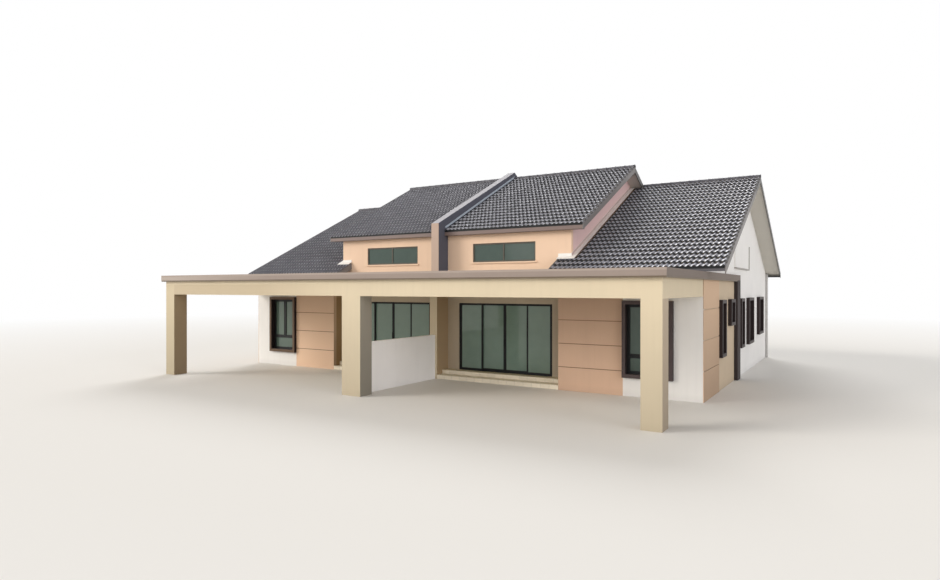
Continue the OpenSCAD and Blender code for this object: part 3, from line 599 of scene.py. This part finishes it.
cream_paint = painted_render("cream_masonry_paint", "#d6c7ab")
# Painted shade: the beams grow darker towards the left-hand house
repaint(cream_paint, "#c5b69b", toward_left(cream_paint, 0.0, -4.0))
slab_paint = painted_render("carport_ceiling_paint", "#d6c7ab")
repaint(slab_paint, "#94908a", beyond(slab_paint, Z, SLAB_TOPPING_Z))
column_paint = column_render()
coping_paint = coping_render()
parapet_paint = parapet_render()
tan_paint = panel_render()
beige_paint = painted_render("khaki_masonry_paint", "#c9b69c")
hall_paint = painted_render("stone_masonry_paint", "#bcae99")
# Painted shade: the recess walls are drawn browner and darker than the walls beside them, as they stand in
# shade
recess_paint = painted_render("brown_masonry_paint", "#a3835c")
band_paint = painted_render("dark_brown_masonry_paint", "#332a2a")
white_paint = painted_render("white_masonry_paint", "#efedea")
# Painted light: the low wall is whiter than the other white walls, as if more light reached it under the
# carport roof
low_wall_paint = painted_render("low_wall_masonry_paint", "#fbf9f7", stain=0.04)
peach_paint = painted_render("peach_masonry_paint", "#f2d1b4")
# Painted shade: the clerestory's side walls are drawn pinker and a little darker than its peach front
pink_paint = painted_render("pink_masonry_paint", "#e6c5c1")
# Painted highlight on the pale tile crests, and dust with painted shade in the pans and under the laps, of
# its own strength on each house and milder on the rear slopes
tile_coat = concrete_tile("charcoal_concrete_tile", "#9e9da7", "#c6c5cf",
                          right=(0.55, 1.0), left=(0.85, 0.35))
rear_tile_coat = concrete_tile("rear_concrete_tile", "#7c7b84", "#94939c",
                               right=(0.25, 0.45), left=(0.25, 0.45))
ridge_coat = concrete_tile("ridge_concrete_tile", "#45444a", "#57565d",
                           right=(0.0, 0.0), left=(0.0, 0.0), gloss=0.15)
board_paint = painted_board("grey_gloss_board", "#514f54")
# Painted light: the upper fascias are a paler, warmer pink-grey than the grey lower boards
repaint(board_paint, "#7f6c65", beyond(board_paint, Z, UPPER_ROOF_Z))
verge_paint = painted_board("dark_grey_gloss_board", "#77726f")
# Painted shade: the barge boards of the rear slopes are darker
repaint(verge_paint, "#54524f", beyond(verge_paint, Y, UPPER_RIDGE_Y))
soffit_paint = painted_board("pale_soffit_board", "#c9c5bc", rough=0.7)
# Painted shadow: the grey of the strips round the gable panels
panel_shadow_paint = painted_board("pale_grey_shadow_strip", "#a5a19c", rough=0.6)
brown_coat = surround_coat()
# Painted shade: the drip edge under the coping is dark, standing in for the shadow there as well
drip_and_shadow_coat = powder_coat("dark_taupe_powder_coat", "#66594a")
black_coat = powder_coat("black_powder_coat", "#121416")
sash_coat = powder_coat("black_sash_powder_coat", "#121416")
repaint(sash_coat, "#5d5a50", beyond(sash_coat, Z, UPPER_ROOF_Z))
glass = tinted_glass("green_tinted_glass", "#40524b", "#4a5c53")
# Painted reflection: the lower windows of the left-hand house are paler
repaint(glass, "#67796f", toward_left(glass, *LEFT_HOUSE), short_of(glass, Z, CARPORT_TOP_Z))
door_glass = tinted_glass("curtained_green_glass", "#768e83", "#80988c")
flashing_metal = sheet_metal("painted_steel_flashing", "#e2dfda", "#f4f1eb")
repaint(flashing_metal, "#c4aaa4", facing(flashing_metal, X))
parapet_metal = sheet_metal("pale_steel_flashing", "#a4acb5", "#bac2ca")
mortar = rough_concrete("grey_bedding_mortar", "#55524f")
screed = rough_concrete("grey_floor_screed", "#97938b")
porch_tile = floor_tile()
timber = sawn_timber()
upvc = pipe_plastic()

NODE_MATERIALS = {
    "floor_slabs": screed, "porch_steps": mortar, "carport_columns": column_paint,
    "carport_beams": cream_paint, "carport_slab": slab_paint, "coping": coping_paint,
    "low_wall": low_wall_paint, "party_wall": parapet_paint, "front_panels": tan_paint,
    "front_walls": white_paint, "recess_walls": recess_paint, "door_side_walls": hall_paint,
    "door_head_walls": hall_paint, "side_panel_walls": beige_paint, "side_walls": white_paint,
    "side_bands": band_paint, "gable_panels": white_paint, "rear_walls": white_paint,
    "clerestory_walls": peach_paint, "clerestory_side_walls": pink_paint,
    "upper_roof_decks": timber, "lower_roof_decks": timber, "rear_roof_decks": soffit_paint,
    "barge_boards": verge_paint, "eaves_boards": board_paint, "verge_soffits": soffit_paint,
    "roof_flashings": flashing_metal, "window_surrounds": brown_coat, "window_sashes": sash_coat,
    "window_glass": glass, "door_frames": black_coat, "fixed_door_glass": door_glass,
}
for side in ("right", "left"):
    for leaf in ("inner", "outer"):
        NODE_MATERIALS[f"{side}_{leaf}_leaf"] = black_coat
        NODE_MATERIALS[f"{side}_{leaf}_glass"] = door_glass
for node_name, node_material in NODE_MATERIALS.items():
    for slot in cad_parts[node_name].material_slots:
        slot.material = node_material


# Roof tiles

TILE_ROLLS = 2
TILE_LEAN = 1.45
TILE_ROUND = 1.25
TILE_HEIGHT = 0.042
TILE_CREST = 0.012
TILE_THICK = 0.020
TILE_RISE = 0.032
TILE_LAP = 0.055
TILE_GAP = 0.003


def make_tile(width, gauge):
    """One double-roll tile with its butt at Y 0; its UV runs over the tile, across and up."""
    bpy.ops.object.select_all(action="DESELECT")
    bpy.ops.mesh.primitive_grid_add(x_subdivisions=8 * TILE_ROLLS, y_subdivisions=1, size=1)
    ob = bpy.context.object
    length = gauge + TILE_LAP
    ob.scale = (width - TILE_GAP, length, 1)
    ob.location = (width / 2, length / 2, 0)
    settle(ob)
    columns = sorted({round(v.co.x, 5) for v in ob.data.vertices})
    for x in columns:
        # Each roll climbs slowly from its pan and drops fast on the other side
        roll = math.sin(math.pi * (TILE_ROLLS * x / width % 1) ** TILE_LEAN) ** 2
        edit(ob, "VERT")
        pick(ob, "verts", lambda v: abs(v.co.x - x) < 1e-4)
        bpy.ops.transform.translate(value=(0, 0, TILE_CREST + TILE_HEIGHT * (roll ** TILE_ROUND - 1)))
        done()
    edit(ob, "VERT")
    pick(ob, "verts", lambda v: v.co.y > length / 2)
    bpy.ops.transform.translate(value=(0, 0, -TILE_RISE * length / gauge))
    done()
    add_modifier(ob, "SOLIDIFY", thickness=TILE_THICK, offset=-1)
    return ob


def tile_field(x0, x1, columns, gauge, rows, end, start=0.0):
    """Tiles from x0 to x1 with their eave at Y start, cut off at Y end."""
    width = (x1 - x0) / columns
    ob = make_tile(width, gauge)
    repeated(ob, columns, (width, 0, 0))
    repeated(ob, rows, (0, gauge, 0))
    ob.location = (x0, start, 0)
    settle(ob)
    return cut(ob, (0, end, 0), (0, 1, 0))


def on_slope(ob, y, z, rear=False):
    """Turns a piece made flat onto a slope whose eave is at y and z."""
    ob.rotation_euler = (PITCH, 0, math.pi if rear else 0)
    ob.location = (0, y, z)
    return settle(ob)


def sides(x0, x1):
    """The stretch on the right-hand house and its mirror image."""
    return {"right": (x0, x1), "left": (-x1, -x0)}


UPPER_RUN = (UPPER_RIDGE_Y - UPPER_EAVE_Y) / COS
LOWER_RUN = (LOWER_RIDGE_Y - LOWER_EAVE_Y) / COS
REAR_RUN = (REAR_EAVE_Y - UPPER_RIDGE_Y) / COS
REAR_LOW_RUN = (REAR_EAVE_Y - LOWER_RIDGE_Y) / COS
RETURN_RUN = (DOOR_Y - LOWER_EAVE_Y) / COS
TUCK_RUN = LOWER_RUN - DECK_LAYER / COS / (2 * TAN) / COS
UPPER_ROWS, LOWER_ROWS, REAR_ROWS, REAR_LOW_ROWS, RETURN_ROWS = 19, 25, 29, 25, 3
UPPER_COLUMNS, LOWER_COLUMNS, REAR_LOW_COLUMNS = 17, 17, 14
# Columns of the lower slope that stop at the clerestory, and that tuck in under the upper verge
RETURN_COLUMNS, TUCK_COLUMNS = 2, 1
LOWER_COLUMN = (VERGE_X - RETURN_X) / LOWER_COLUMNS
TRAY_X = RETURN_X + RETURN_COLUMNS * LOWER_COLUMN
TUCK_X = TRAY_X + TUCK_COLUMNS * LOWER_COLUMN
OPEN_COLUMNS = LOWER_COLUMNS - RETURN_COLUMNS - TUCK_COLUMNS
# The rear tiles start this far up from the eave
REAR_START = 0.008
TILE_SMOOTH = 40

upper_gauge = UPPER_RUN / UPPER_ROWS
lower_gauge = LOWER_RUN / LOWER_ROWS
rear_gauge = REAR_RUN / REAR_ROWS
SPANS = {
    "upper": [(PARTY_X, UPPER_VERGE_X, UPPER_COLUMNS, UPPER_ROWS, UPPER_RUN)],
    "lower": [(RETURN_X, TRAY_X, RETURN_COLUMNS, RETURN_ROWS, RETURN_RUN),
              (TRAY_X, TUCK_X, TUCK_COLUMNS, LOWER_ROWS, TUCK_RUN),
              (TUCK_X, VERGE_X, OPEN_COLUMNS, LOWER_ROWS, LOWER_RUN)],
    "rear": [(PARTY_X, UPPER_VERGE_X, UPPER_COLUMNS, REAR_ROWS, REAR_RUN),
             (UPPER_VERGE_X, VERGE_X, REAR_LOW_COLUMNS, REAR_LOW_ROWS, REAR_LOW_RUN)],
}
for slope, gauge, coat, y, z in (("upper", upper_gauge, tile_coat, UPPER_EAVE_Y, UPPER_EAVE_Z),
                                 ("lower", lower_gauge, tile_coat, LOWER_EAVE_Y, LOWER_EAVE_Z),
                                 ("rear", rear_gauge, rear_tile_coat, REAR_EAVE_Y, REAR_EAVE_Z)):
    at_rear = slope == "rear"
    for side, other in (("right", "left"), ("left", "right")):
        fields = []
        for x0, x1, columns, rows, end in SPANS[slope]:
            # The rear slope turns half round, which swaps left and right
            a, b = sides(x0, x1)[other if at_rear else side]
            fields.append(tile_field(a, b, columns, gauge, rows, end, REAR_START if at_rear else 0.0))
        field = on_slope(join(f"{slope}_tiles_{side}", fields), y, z, at_rear)
        finish_piece(field, coat, smooth=TILE_SMOOTH, stands_for=(f"{slope}_roof_tiles",))


# Ridge

RIDGE_R = 0.110
RIDGE_RISE = 0.040
RIDGE_T = 0.014
RIDGE_GAP = 0.002
RIDGE_FOOT = 0.005
COLLAR_W = 0.050
COLLAR_STEP = 0.005
COLLAR_SWELL = 1.06
UPPER_CAPS, LOWER_CAPS = 14, 12
# Mortar under the ridge tiles: half its width, its heights from the ridge line, and its ends
BED_HALF, BED_LOW, BED_HIGH, BED_END = 0.098, -0.125, -0.045, 0.010


def ridge_row(name, x0, x1, y, z, count):
    """Half-round ridge tiles, each with a raised collar over the next one."""
    length = (x1 - x0) / count
    bpy.ops.object.select_all(action="DESELECT")
    bpy.ops.mesh.primitive_cylinder_add(vertices=28, radius=RIDGE_R, depth=length - RIDGE_GAP,
                                        end_fill_type="NOTHING", rotation=(0, math.pi / 2, 0))
    ob = settle(bpy.context.object)
    edit(ob)
    for width in (COLLAR_W + COLLAR_STEP, COLLAR_W - COLLAR_STEP):
        bpy.ops.mesh.select_all(action="SELECT")
        bpy.ops.mesh.bisect(plane_co=(length / 2 - width, 0, 0), plane_no=(1, 0, 0))
    bpy.ops.mesh.select_all(action="DESELECT")
    pick(ob, "verts", lambda v: v.co.x > length / 2 - COLLAR_W)
    bpy.ops.transform.resize(value=(1, COLLAR_SWELL, COLLAR_SWELL), center_override=(0, 0, 0))
    bpy.ops.mesh.select_all(action="SELECT")
    bpy.ops.mesh.bisect(plane_co=(0, 0, RIDGE_FOOT), plane_no=(0, 0, -1), clear_outer=True)
    done()
    add_modifier(ob, "SOLIDIFY", thickness=RIDGE_T, offset=-1)
    repeated(ob, count, (length, 0, 0))
    ob.location = (x0 + length / 2, y, z + RIDGE_RISE - RIDGE_R)
    ob.name = name
    return settle(ob)


beds = []
for side in ("right", "left"):
    for kind, (xa, xb), y, z, count in (
            ("upper", (PARTY_X, UPPER_VERGE_X), UPPER_RIDGE_Y, UPPER_RIDGE_Z, UPPER_CAPS),
            ("lower", (UPPER_VERGE_X, VERGE_X), LOWER_RIDGE_Y, LOWER_RIDGE_Z, LOWER_CAPS)):
        x0, x1 = sides(xa, xb)[side]
        caps = ridge_row(f"{kind}_ridge_tiles_{side}", x0, x1, y, z, count)
        finish_piece(caps, ridge_coat, smooth=TILE_SMOOTH, stands_for=("ridge_caps",))
        beds.append(block("bed", (x0 + BED_END, y - BED_HALF, z + BED_LOW),
                          (x1 - BED_END, y + BED_HALF, z + BED_HIGH), *MORTAR_EDGE))


# Mortar under the verges, and flashings beside the parapet

# Verge mortar: its distances from the edge of the tiles, its two faces and its ends
MORTAR_OUT, MORTAR_IN = 0.012, 0.060
MORTAR_LAYER = (-0.062, -0.018)
MORTAR_START, MORTAR_END = 0.030, 0.020
# Flashing against the parapet: an upright leg and a flat one
LEG_T, LEG_H = 0.008, 0.070
FLAT_W, FLAT_LAYER = 0.045, (0.014, 0.020)
FLASHING_START = 0.100


def slope_strip(x, s, n, y, z, rear=False):
    """A strip on a slope: x across, s up the slope and n out of it."""
    return on_slope(block("strip", (x[0], s[0], n[0]), (x[1], s[1], n[1]), *STRIP_EDGE), y, z, rear)


for side in ("right", "left"):
    for x, s, y, z, rear in (
            (UPPER_VERGE_X, (MORTAR_START, UPPER_RUN), UPPER_EAVE_Y, UPPER_EAVE_Z, False),
            (VERGE_X, (MORTAR_START, LOWER_RUN), LOWER_EAVE_Y, LOWER_EAVE_Z, False),
            (VERGE_X, (MORTAR_START, REAR_LOW_RUN), REAR_EAVE_Y, REAR_EAVE_Z, True),
            (UPPER_VERGE_X, (REAR_LOW_RUN, REAR_RUN), REAR_EAVE_Y, REAR_EAVE_Z, True),
            (RETURN_X + MORTAR_OUT + MORTAR_IN, (MORTAR_START, RETURN_RUN), LOWER_EAVE_Y, LOWER_EAVE_Z,
             False)):
        across = sides(x - MORTAR_IN, x - MORTAR_OUT)[side]
        beds.append(slope_strip(across, (s[0], s[1] - MORTAR_END), MORTAR_LAYER, y, z, rear))
bedding = join("tile_bedding", beds)
finish_piece(bedding, mortar)

strips = []
for side in ("right", "left"):
    for run, y, z, rear in ((UPPER_RUN, UPPER_EAVE_Y, UPPER_EAVE_Z, False),
                            (REAR_RUN, REAR_EAVE_Y, REAR_EAVE_Z, True)):
        for width, layer in ((LEG_T, (0.0, LEG_H)), (FLAT_W, FLAT_LAYER)):
            across = sides(PARTY_X, PARTY_X + width)[side]
            strips.append(slope_strip(across, (FLASHING_START, run), layer, y, z, rear))
parapet_flashing = join("parapet_flashing", strips)
finish_piece(parapet_flashing, parapet_metal)


# Closers between the front eave boards and the tiles

CLOSER_T = 0.006
CLOSER_H = 0.050
CLOSER_RISE = 0.030
CLOSER_END = 0.025
# The closers stand this far behind the two eaves, on boards whose top is this far below them
UPPER_SET, LOWER_SET = 0.039, 0.040
BOARD_DROP = 0.0475
TOOTH_PITCH = 0.060
TOOTH_H = 0.012


def closer(x, y, top):
    """A strip with upright teeth that keeps birds out of the hollows under the tiles."""
    low, high = top - CLOSER_H, top + CLOSER_RISE - TOOTH_H
    ob = block("closer", (x[0], y - CLOSER_T, low), (x[1], y, high), *THIN_EDGE)
    count = round((x[1] - x[0]) / TOOTH_PITCH)
    step = (x[1] - x[0]) / count
    edit(ob, "EDGE")
    pick(ob, "edges", lambda e: abs(e.verts[0].co.x - e.verts[1].co.x) > step)
    bpy.ops.mesh.subdivide(number_cuts=2 * count - 1)
    bpy.ops.mesh.select_mode(type="FACE")
    bpy.ops.mesh.select_all(action="DESELECT")
    pick(ob, "faces", lambda f: f.normal.z > 0.9
         and int(2 * (f.calc_center_median().x - x[0]) / step) % 2 == 0)
    bpy.ops.mesh.extrude_region_move(TRANSFORM_OT_translate={"value": (0, 0, TOOTH_H)})
    done()
    return ob


closers = []
for side in ("right", "left"):
    for x0, x1, y, eave_z in (
            (PARTY_X, UPPER_VERGE_X - CLOSER_END, UPPER_EAVE_Y + UPPER_SET, UPPER_EAVE_Z),
            (RETURN_X + CLOSER_END, VERGE_X - CLOSER_END, LOWER_EAVE_Y + LOWER_SET, LOWER_EAVE_Z)):
        closers.append(closer(sides(x0, x1)[side], y, eave_z - BOARD_DROP))
eave_closers = join("eave_closers", closers)
finish_piece(eave_closers, black_coat)


# Painted shadow: grey strips under and beyond the gable panels stand in for the panels' shadows on the wall

PANEL_LO, PANEL_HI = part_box("gable_panels")
PANEL_SHADOW_X = HOUSE_X + 0.080
PANEL_SHADOW_H = 0.045
PANEL_SHADOW_START = 0.020
near_y, far_y = PANEL_LO.y + PANEL_SHADOW_START, PANEL_HI.y + PANEL_SHADOW_H
under_z = PANEL_LO.z - PANEL_SHADOW_H
panel_shadow_strips = both_houses(join("gable_panel_shadow_strips", [
    block("under", (HOUSE_X, near_y, under_z), (PANEL_SHADOW_X, PANEL_HI.y, PANEL_LO.z), *SHADOW_STRIP_EDGE),
    block("far", (HOUSE_X, PANEL_HI.y, under_z), (PANEL_SHADOW_X, far_y, PANEL_HI.z), *SHADOW_STRIP_EDGE)]))
finish_piece(panel_shadow_strips, panel_shadow_paint)


# Windows

FRONT_WIDTH, FRONT_SILL, FRONT_TRANSOM = 1.48, 0.55, 1.19
FRONT_CORNER = 0.8
# Each side window's near edge, counted from the front of the carport, its width and its sill
SIDE_WINDOWS = [(6.560, 0.75, 1.04), (8.195, 0.79, 1.95), (10.350, 0.75, 1.04),
                (12.195, 1.29, 1.04), (15.110, 1.35, 1.24)]
# Each rear window's width and sill, from the party wall out
REAR_WINDOWS = [(1.35, 1.24), (0.79, 1.95), (1.35, 1.24), (0.79, 1.95)]
REAR_END = 0.15
WIDE_WINDOW = 1.2
CASEMENT_W = 0.036
CASEMENT_GAP = 0.002
CASEMENT_Y = (0.062, 0.086)


def lights(width, sill, transom=None):
    """Each pane's X pair, from the surround's outer edge, and Z pair, from the ground."""
    x0, x1 = SURROUND_W + SASH_W, width - SURROUND_W - SASH_W
    z0, z1 = sill + SURROUND_W + SASH_W, HEAD_Z - SURROUND_W - SASH_W
    out = []
    if transom:
        out.append((x0, x1, z0, transom - SASH_W / 2))
        z0 = transom + SASH_W / 2
    if width > WIDE_WINDOW:
        middle = width / 2
        out += [(x0, middle - SASH_W / 2, z0, z1), (middle + SASH_W / 2, x1, z0, z1)]
    else:
        out.append((x0, x1, z0, z1))
    return out


def casements(width, sill, transom, place, turn):
    """An opening frame round each pane, placed on its wall."""
    near, far = CASEMENT_Y
    gap = CASEMENT_GAP
    ob = join("casement", [
        window_frame("casement", (x0 + gap, near, z0 + gap), (x1 - gap, far, z1 - gap), CASEMENT_W)
        for x0, x1, z0, z1 in lights(width, sill, transom)])
    ob.location = place
    ob.rotation_euler.z = turn
    return settle(ob)


frames = [casements(FRONT_WIDTH, FRONT_SILL, FRONT_TRANSOM,
                    (HOUSE_X - FRONT_CORNER - FRONT_WIDTH, FRONT_Y, 0), 0)]
for y, width, sill in SIDE_WINDOWS:
    frames.append(casements(width, sill, None, (HOUSE_X, y - MID_Y, 0), math.pi / 2))
rear_free = HOUSE_X - REAR_END - PARTY_X - sum(width for width, _ in REAR_WINDOWS)
rear_gap = rear_free / (len(REAR_WINDOWS) + 1)
x = PARTY_X
for width, sill in REAR_WINDOWS:
    x += rear_gap + width
    frames.append(casements(width, sill, None, (x, REAR_Y, 0), math.pi))
window_casements = both_houses(join("window_casements", frames))
finish_piece(window_casements, black_coat)


# Sliding doors

DOOR_SET, DOOR_W = 0.465, 3.635
DOOR_MID_X = PARTY_X + DOOR_SET + DOOR_W / 2
# Front face of the sliding leaves, and how far the pulls stand from the middle of the doors
MOVING_Y = DOOR_Y + 0.099
PULL_SIDE = 0.028
PULL_Z = (FLOOR_Z + 0.88, FLOOR_Z + 1.2)
PULL_HALF = 0.009
PULL_T = 0.012
PULL_REACH = 0.022
PULL_FOOT = 0.020
PULL_ROUND = 0.003


def pull_handle(name, x):
    """A bow handle on a meeting stile: a bar with its two ends turned to the door."""
    low, high = PULL_Z
    bar_y = MOVING_Y - PULL_REACH
    bar = block(name, (x - PULL_HALF, bar_y - PULL_T, low), (x + PULL_HALF, bar_y, high))
    edit(bar)
    for z in (low + PULL_FOOT, high - PULL_FOOT):
        bpy.ops.mesh.select_all(action="SELECT")
        bpy.ops.mesh.bisect(plane_co=(0, 0, z), plane_no=(0, 0, 1))
    bpy.ops.mesh.select_all(action="DESELECT")
    pick(bar, "faces", lambda f: f.normal.y > 0.9
         and not low + PULL_FOOT < f.calc_center_median().z < high - PULL_FOOT)
    bpy.ops.mesh.extrude_region_move(TRANSFORM_OT_translate={"value": (0, PULL_REACH, 0)})
    done()
    return soften(bar, PULL_ROUND)


for side, sign in (("right", 1), ("left", -1)):
    for leaf, x in (("inner", DOOR_MID_X - PULL_SIDE), ("outer", DOOR_MID_X + PULL_SIDE)):
        handle = pull_handle(f"{side}_{leaf}_pull", sign * x)
        finish_piece(handle, black_coat, body=f"{side}_{leaf}_door_leaf")


# Porch tiles

STEP_Z = FLOOR_Z / 2
STEP_TREAD = 0.335
STEP_Y = FRONT_Y + STEP_TREAD
PORCH_COLUMNS = 15
PORCH_TILE_T, LOW_RISER_T = 0.006, 0.004
PORCH_JOINT, PORCH_GAP = 0.003, 0.002


def porch_tiles(y, z):
    """One row of floor tiles across the porch, with open joints."""
    x0, x1 = PARTY_X + PORCH_GAP, RECESS_X - PORCH_GAP
    width = (x1 - x0) / PORCH_COLUMNS
    ob = block("porch_tile", (x0, y[0], z[0]), (x0 + width - PORCH_JOINT, y[1], z[1]), *FINE_EDGE)
    return repeated(ob, PORCH_COLUMNS, (width, 0, 0))


step_top, floor_top = STEP_Z + PORCH_TILE_T, FLOOR_Z + PORCH_TILE_T
riser_y = STEP_Y - PORCH_TILE_T
rows = [
    porch_tiles((FRONT_Y - PORCH_TILE_T, riser_y - PORCH_JOINT), (STEP_Z, step_top)),
    porch_tiles((riser_y - PORCH_TILE_T, DOOR_Y - PORCH_GAP), (FLOOR_Z, floor_top)),
    porch_tiles((FRONT_Y - LOW_RISER_T, FRONT_Y), (PORCH_JOINT, STEP_Z - PORCH_JOINT)),
    porch_tiles((riser_y, STEP_Y), (step_top + PORCH_GAP, FLOOR_Z - PORCH_JOINT)),
]
steps = both_houses(join("porch_tiles", rows))
finish_piece(steps, porch_tile)


# Drip edge under the coping, dark, so that it also stands in for the shadow under the coping's edge

# How far its two faces stand out from the columns, its heights and its far end
DRIP_OUT, DRIP_IN = 0.115, 0.085
DRIP_LOW, DRIP_HIGH = 3.430, 3.470
DRIP_END_Y = 9.380 - MID_Y
drip_x, inner_x = HOUSE_X + DRIP_OUT, HOUSE_X + DRIP_IN
drip_y, inner_y = -MID_Y - DRIP_OUT, -MID_Y - DRIP_IN
drip_edge = join("coping_drip_edge", [
    block("front", (-drip_x, drip_y, DRIP_LOW), (drip_x, inner_y, DRIP_HIGH), *STRIP_EDGE),
    block("right", (inner_x, inner_y, DRIP_LOW), (drip_x, DRIP_END_Y, DRIP_HIGH), *STRIP_EDGE),
    block("left", (-drip_x, inner_y, DRIP_LOW), (-inner_x, DRIP_END_Y, DRIP_HIGH), *STRIP_EDGE)])
finish_piece(drip_edge, drip_and_shadow_coat)


# Rainwater pipes

PIPE_R = 0.05
PIPE_X = HOUSE_X + PIPE_R
PIPE_SET = 0.005
PIPE_Y = REAR_Y - PIPE_R - PIPE_SET
SOCKET_Z, SOCKET_H, SOCKET_T = (0.28, 1.95), 0.090, 0.005
# The brackets: a band round the pipe and a plate on the wall that runs further to the front
BRACKET_Z, BRACKET_H, BAND_T = (0.75, 1.75, 2.75, 3.55), 0.028, 0.004
PLATE_T, PLATE_FRONT, PLATE_BACK = 0.012, 0.075, 0.055


def tube(radius, z0, z1, bevel=0.004):
    """An upright round length on the pipe's centre line."""
    bpy.ops.object.select_all(action="DESELECT")
    bpy.ops.mesh.primitive_cylinder_add(vertices=32, radius=radius, depth=z1 - z0,
                                        location=(PIPE_X, PIPE_Y, (z0 + z1) / 2))
    return soften(settle(bpy.context.object), bevel, 2)


top_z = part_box("downpipes")[1].z
parts = [tube(PIPE_R, 0.0, top_z, bevel=0.003)]
for z in SOCKET_Z:
    parts.append(tube(PIPE_R + SOCKET_T, z, z + SOCKET_H))
for z in BRACKET_Z:
    parts.append(tube(PIPE_R + BAND_T, z, z + BRACKET_H, bevel=0.002))
    parts.append(block("bracket", (HOUSE_X, PIPE_Y - PLATE_FRONT, z),
                       (HOUSE_X + PLATE_T, PIPE_Y + PLATE_BACK, z + BRACKET_H), *FINE_EDGE))
pipes = both_houses(join("rainwater_pipes", parts))
finish_piece(pipes, upvc, smooth=35, stands_for=("downpipes",))


# Floor, light and background

# The floor fades to white, for the camera alone, between these distances
FADE_FROM, FADE_TO = 18.0, 60.0
# Each lamp's strength, angular size, turn in degrees and colour
LAMPS = {
    "key": (1.9, 0.5, (68, 0, -50), (1.0, 0.95, 0.88)),
    "front": (0.7, 1.2, (80, 0, 6), (1.0, 0.97, 0.94)),
    "fill": (1.1, 0.6, (83, 0, 72), (0.95, 0.95, 1.0)),
    "rim": (1.2, 0.5, (48, 0, 206), (1.0, 1.0, 1.0)),
}


def make_stage():
    bpy.ops.object.select_all(action="DESELECT")
    bpy.ops.mesh.primitive_plane_add(size=600, location=(0, 0, -0.002))
    floor = bpy.context.object
    floor.name = "floor"
    material, tree, shader = new_material("pale_studio_floor")
    place = add(tree, "ShaderNodeTexCoord").outputs["Object"]
    away = add(tree, "ShaderNodeVectorMath", {0: place}, operation="LENGTH").outputs["Value"]
    fade = add(tree, "ShaderNodeMapRange", {"Value": away, "From Min": FADE_FROM, "From Max": FADE_TO})
    seen = add(tree, "ShaderNodeLightPath").outputs["Is Camera Ray"]
    factor = add(tree, "ShaderNodeMath", {0: fade.outputs[0], 1: seen}, operation="MULTIPLY")
    white = add(tree, "ShaderNodeEmission", {"Color": (1, 1, 1, 1), "Strength": 1.0})
    set_shader(tree, shader, Base_Color=linear("#e6e3de"), Roughness=0.85)
    mixed = add(tree, "ShaderNodeMixShader", {0: factor.outputs[0], 1: shader.outputs[0],
                                              2: white.outputs[0]})
    tree.links.new(mixed.outputs[0], tree.nodes["Material Output"].inputs["Surface"])
    floor.data.materials.append(material)


def make_light():
    world = bpy.context.scene.world or bpy.data.worlds.new("world")
    bpy.context.scene.world = world
    world.use_nodes = True
    tree = world.node_tree
    background = tree.nodes["Background"]
    background.inputs["Color"].default_value = (1, 1, 1, 1)
    path = add(tree, "ShaderNodeLightPath")
    bright = add(tree, "ShaderNodeMath", {0: path.outputs["Is Camera Ray"],
                                          1: path.outputs["Is Glossy Ray"]}, operation="MAXIMUM")
    shown = add(tree, "ShaderNodeMath", {0: bright.outputs[0], 1: path.outputs["Is Transmission Ray"]},
                operation="MAXIMUM")
    strength = add(tree, "ShaderNodeMapRange", {"Value": shown.outputs[0], "To Min": 0.45, "To Max": 1.0})
    tree.links.new(strength.outputs[0], background.inputs["Strength"])
    for name, (energy, angle, turn, colour) in LAMPS.items():
        data = bpy.data.lights.new(name, "SUN")
        data.energy = energy
        data.angle = angle
        data.color = colour
        lamp = bpy.data.objects.new(name, data)
        lamp.rotation_euler = [math.radians(a) for a in turn]
        bpy.context.scene.collection.objects.link(lamp)
    bpy.context.scene.view_settings.view_transform = "Standard"


make_camera()
make_stage()
make_light()
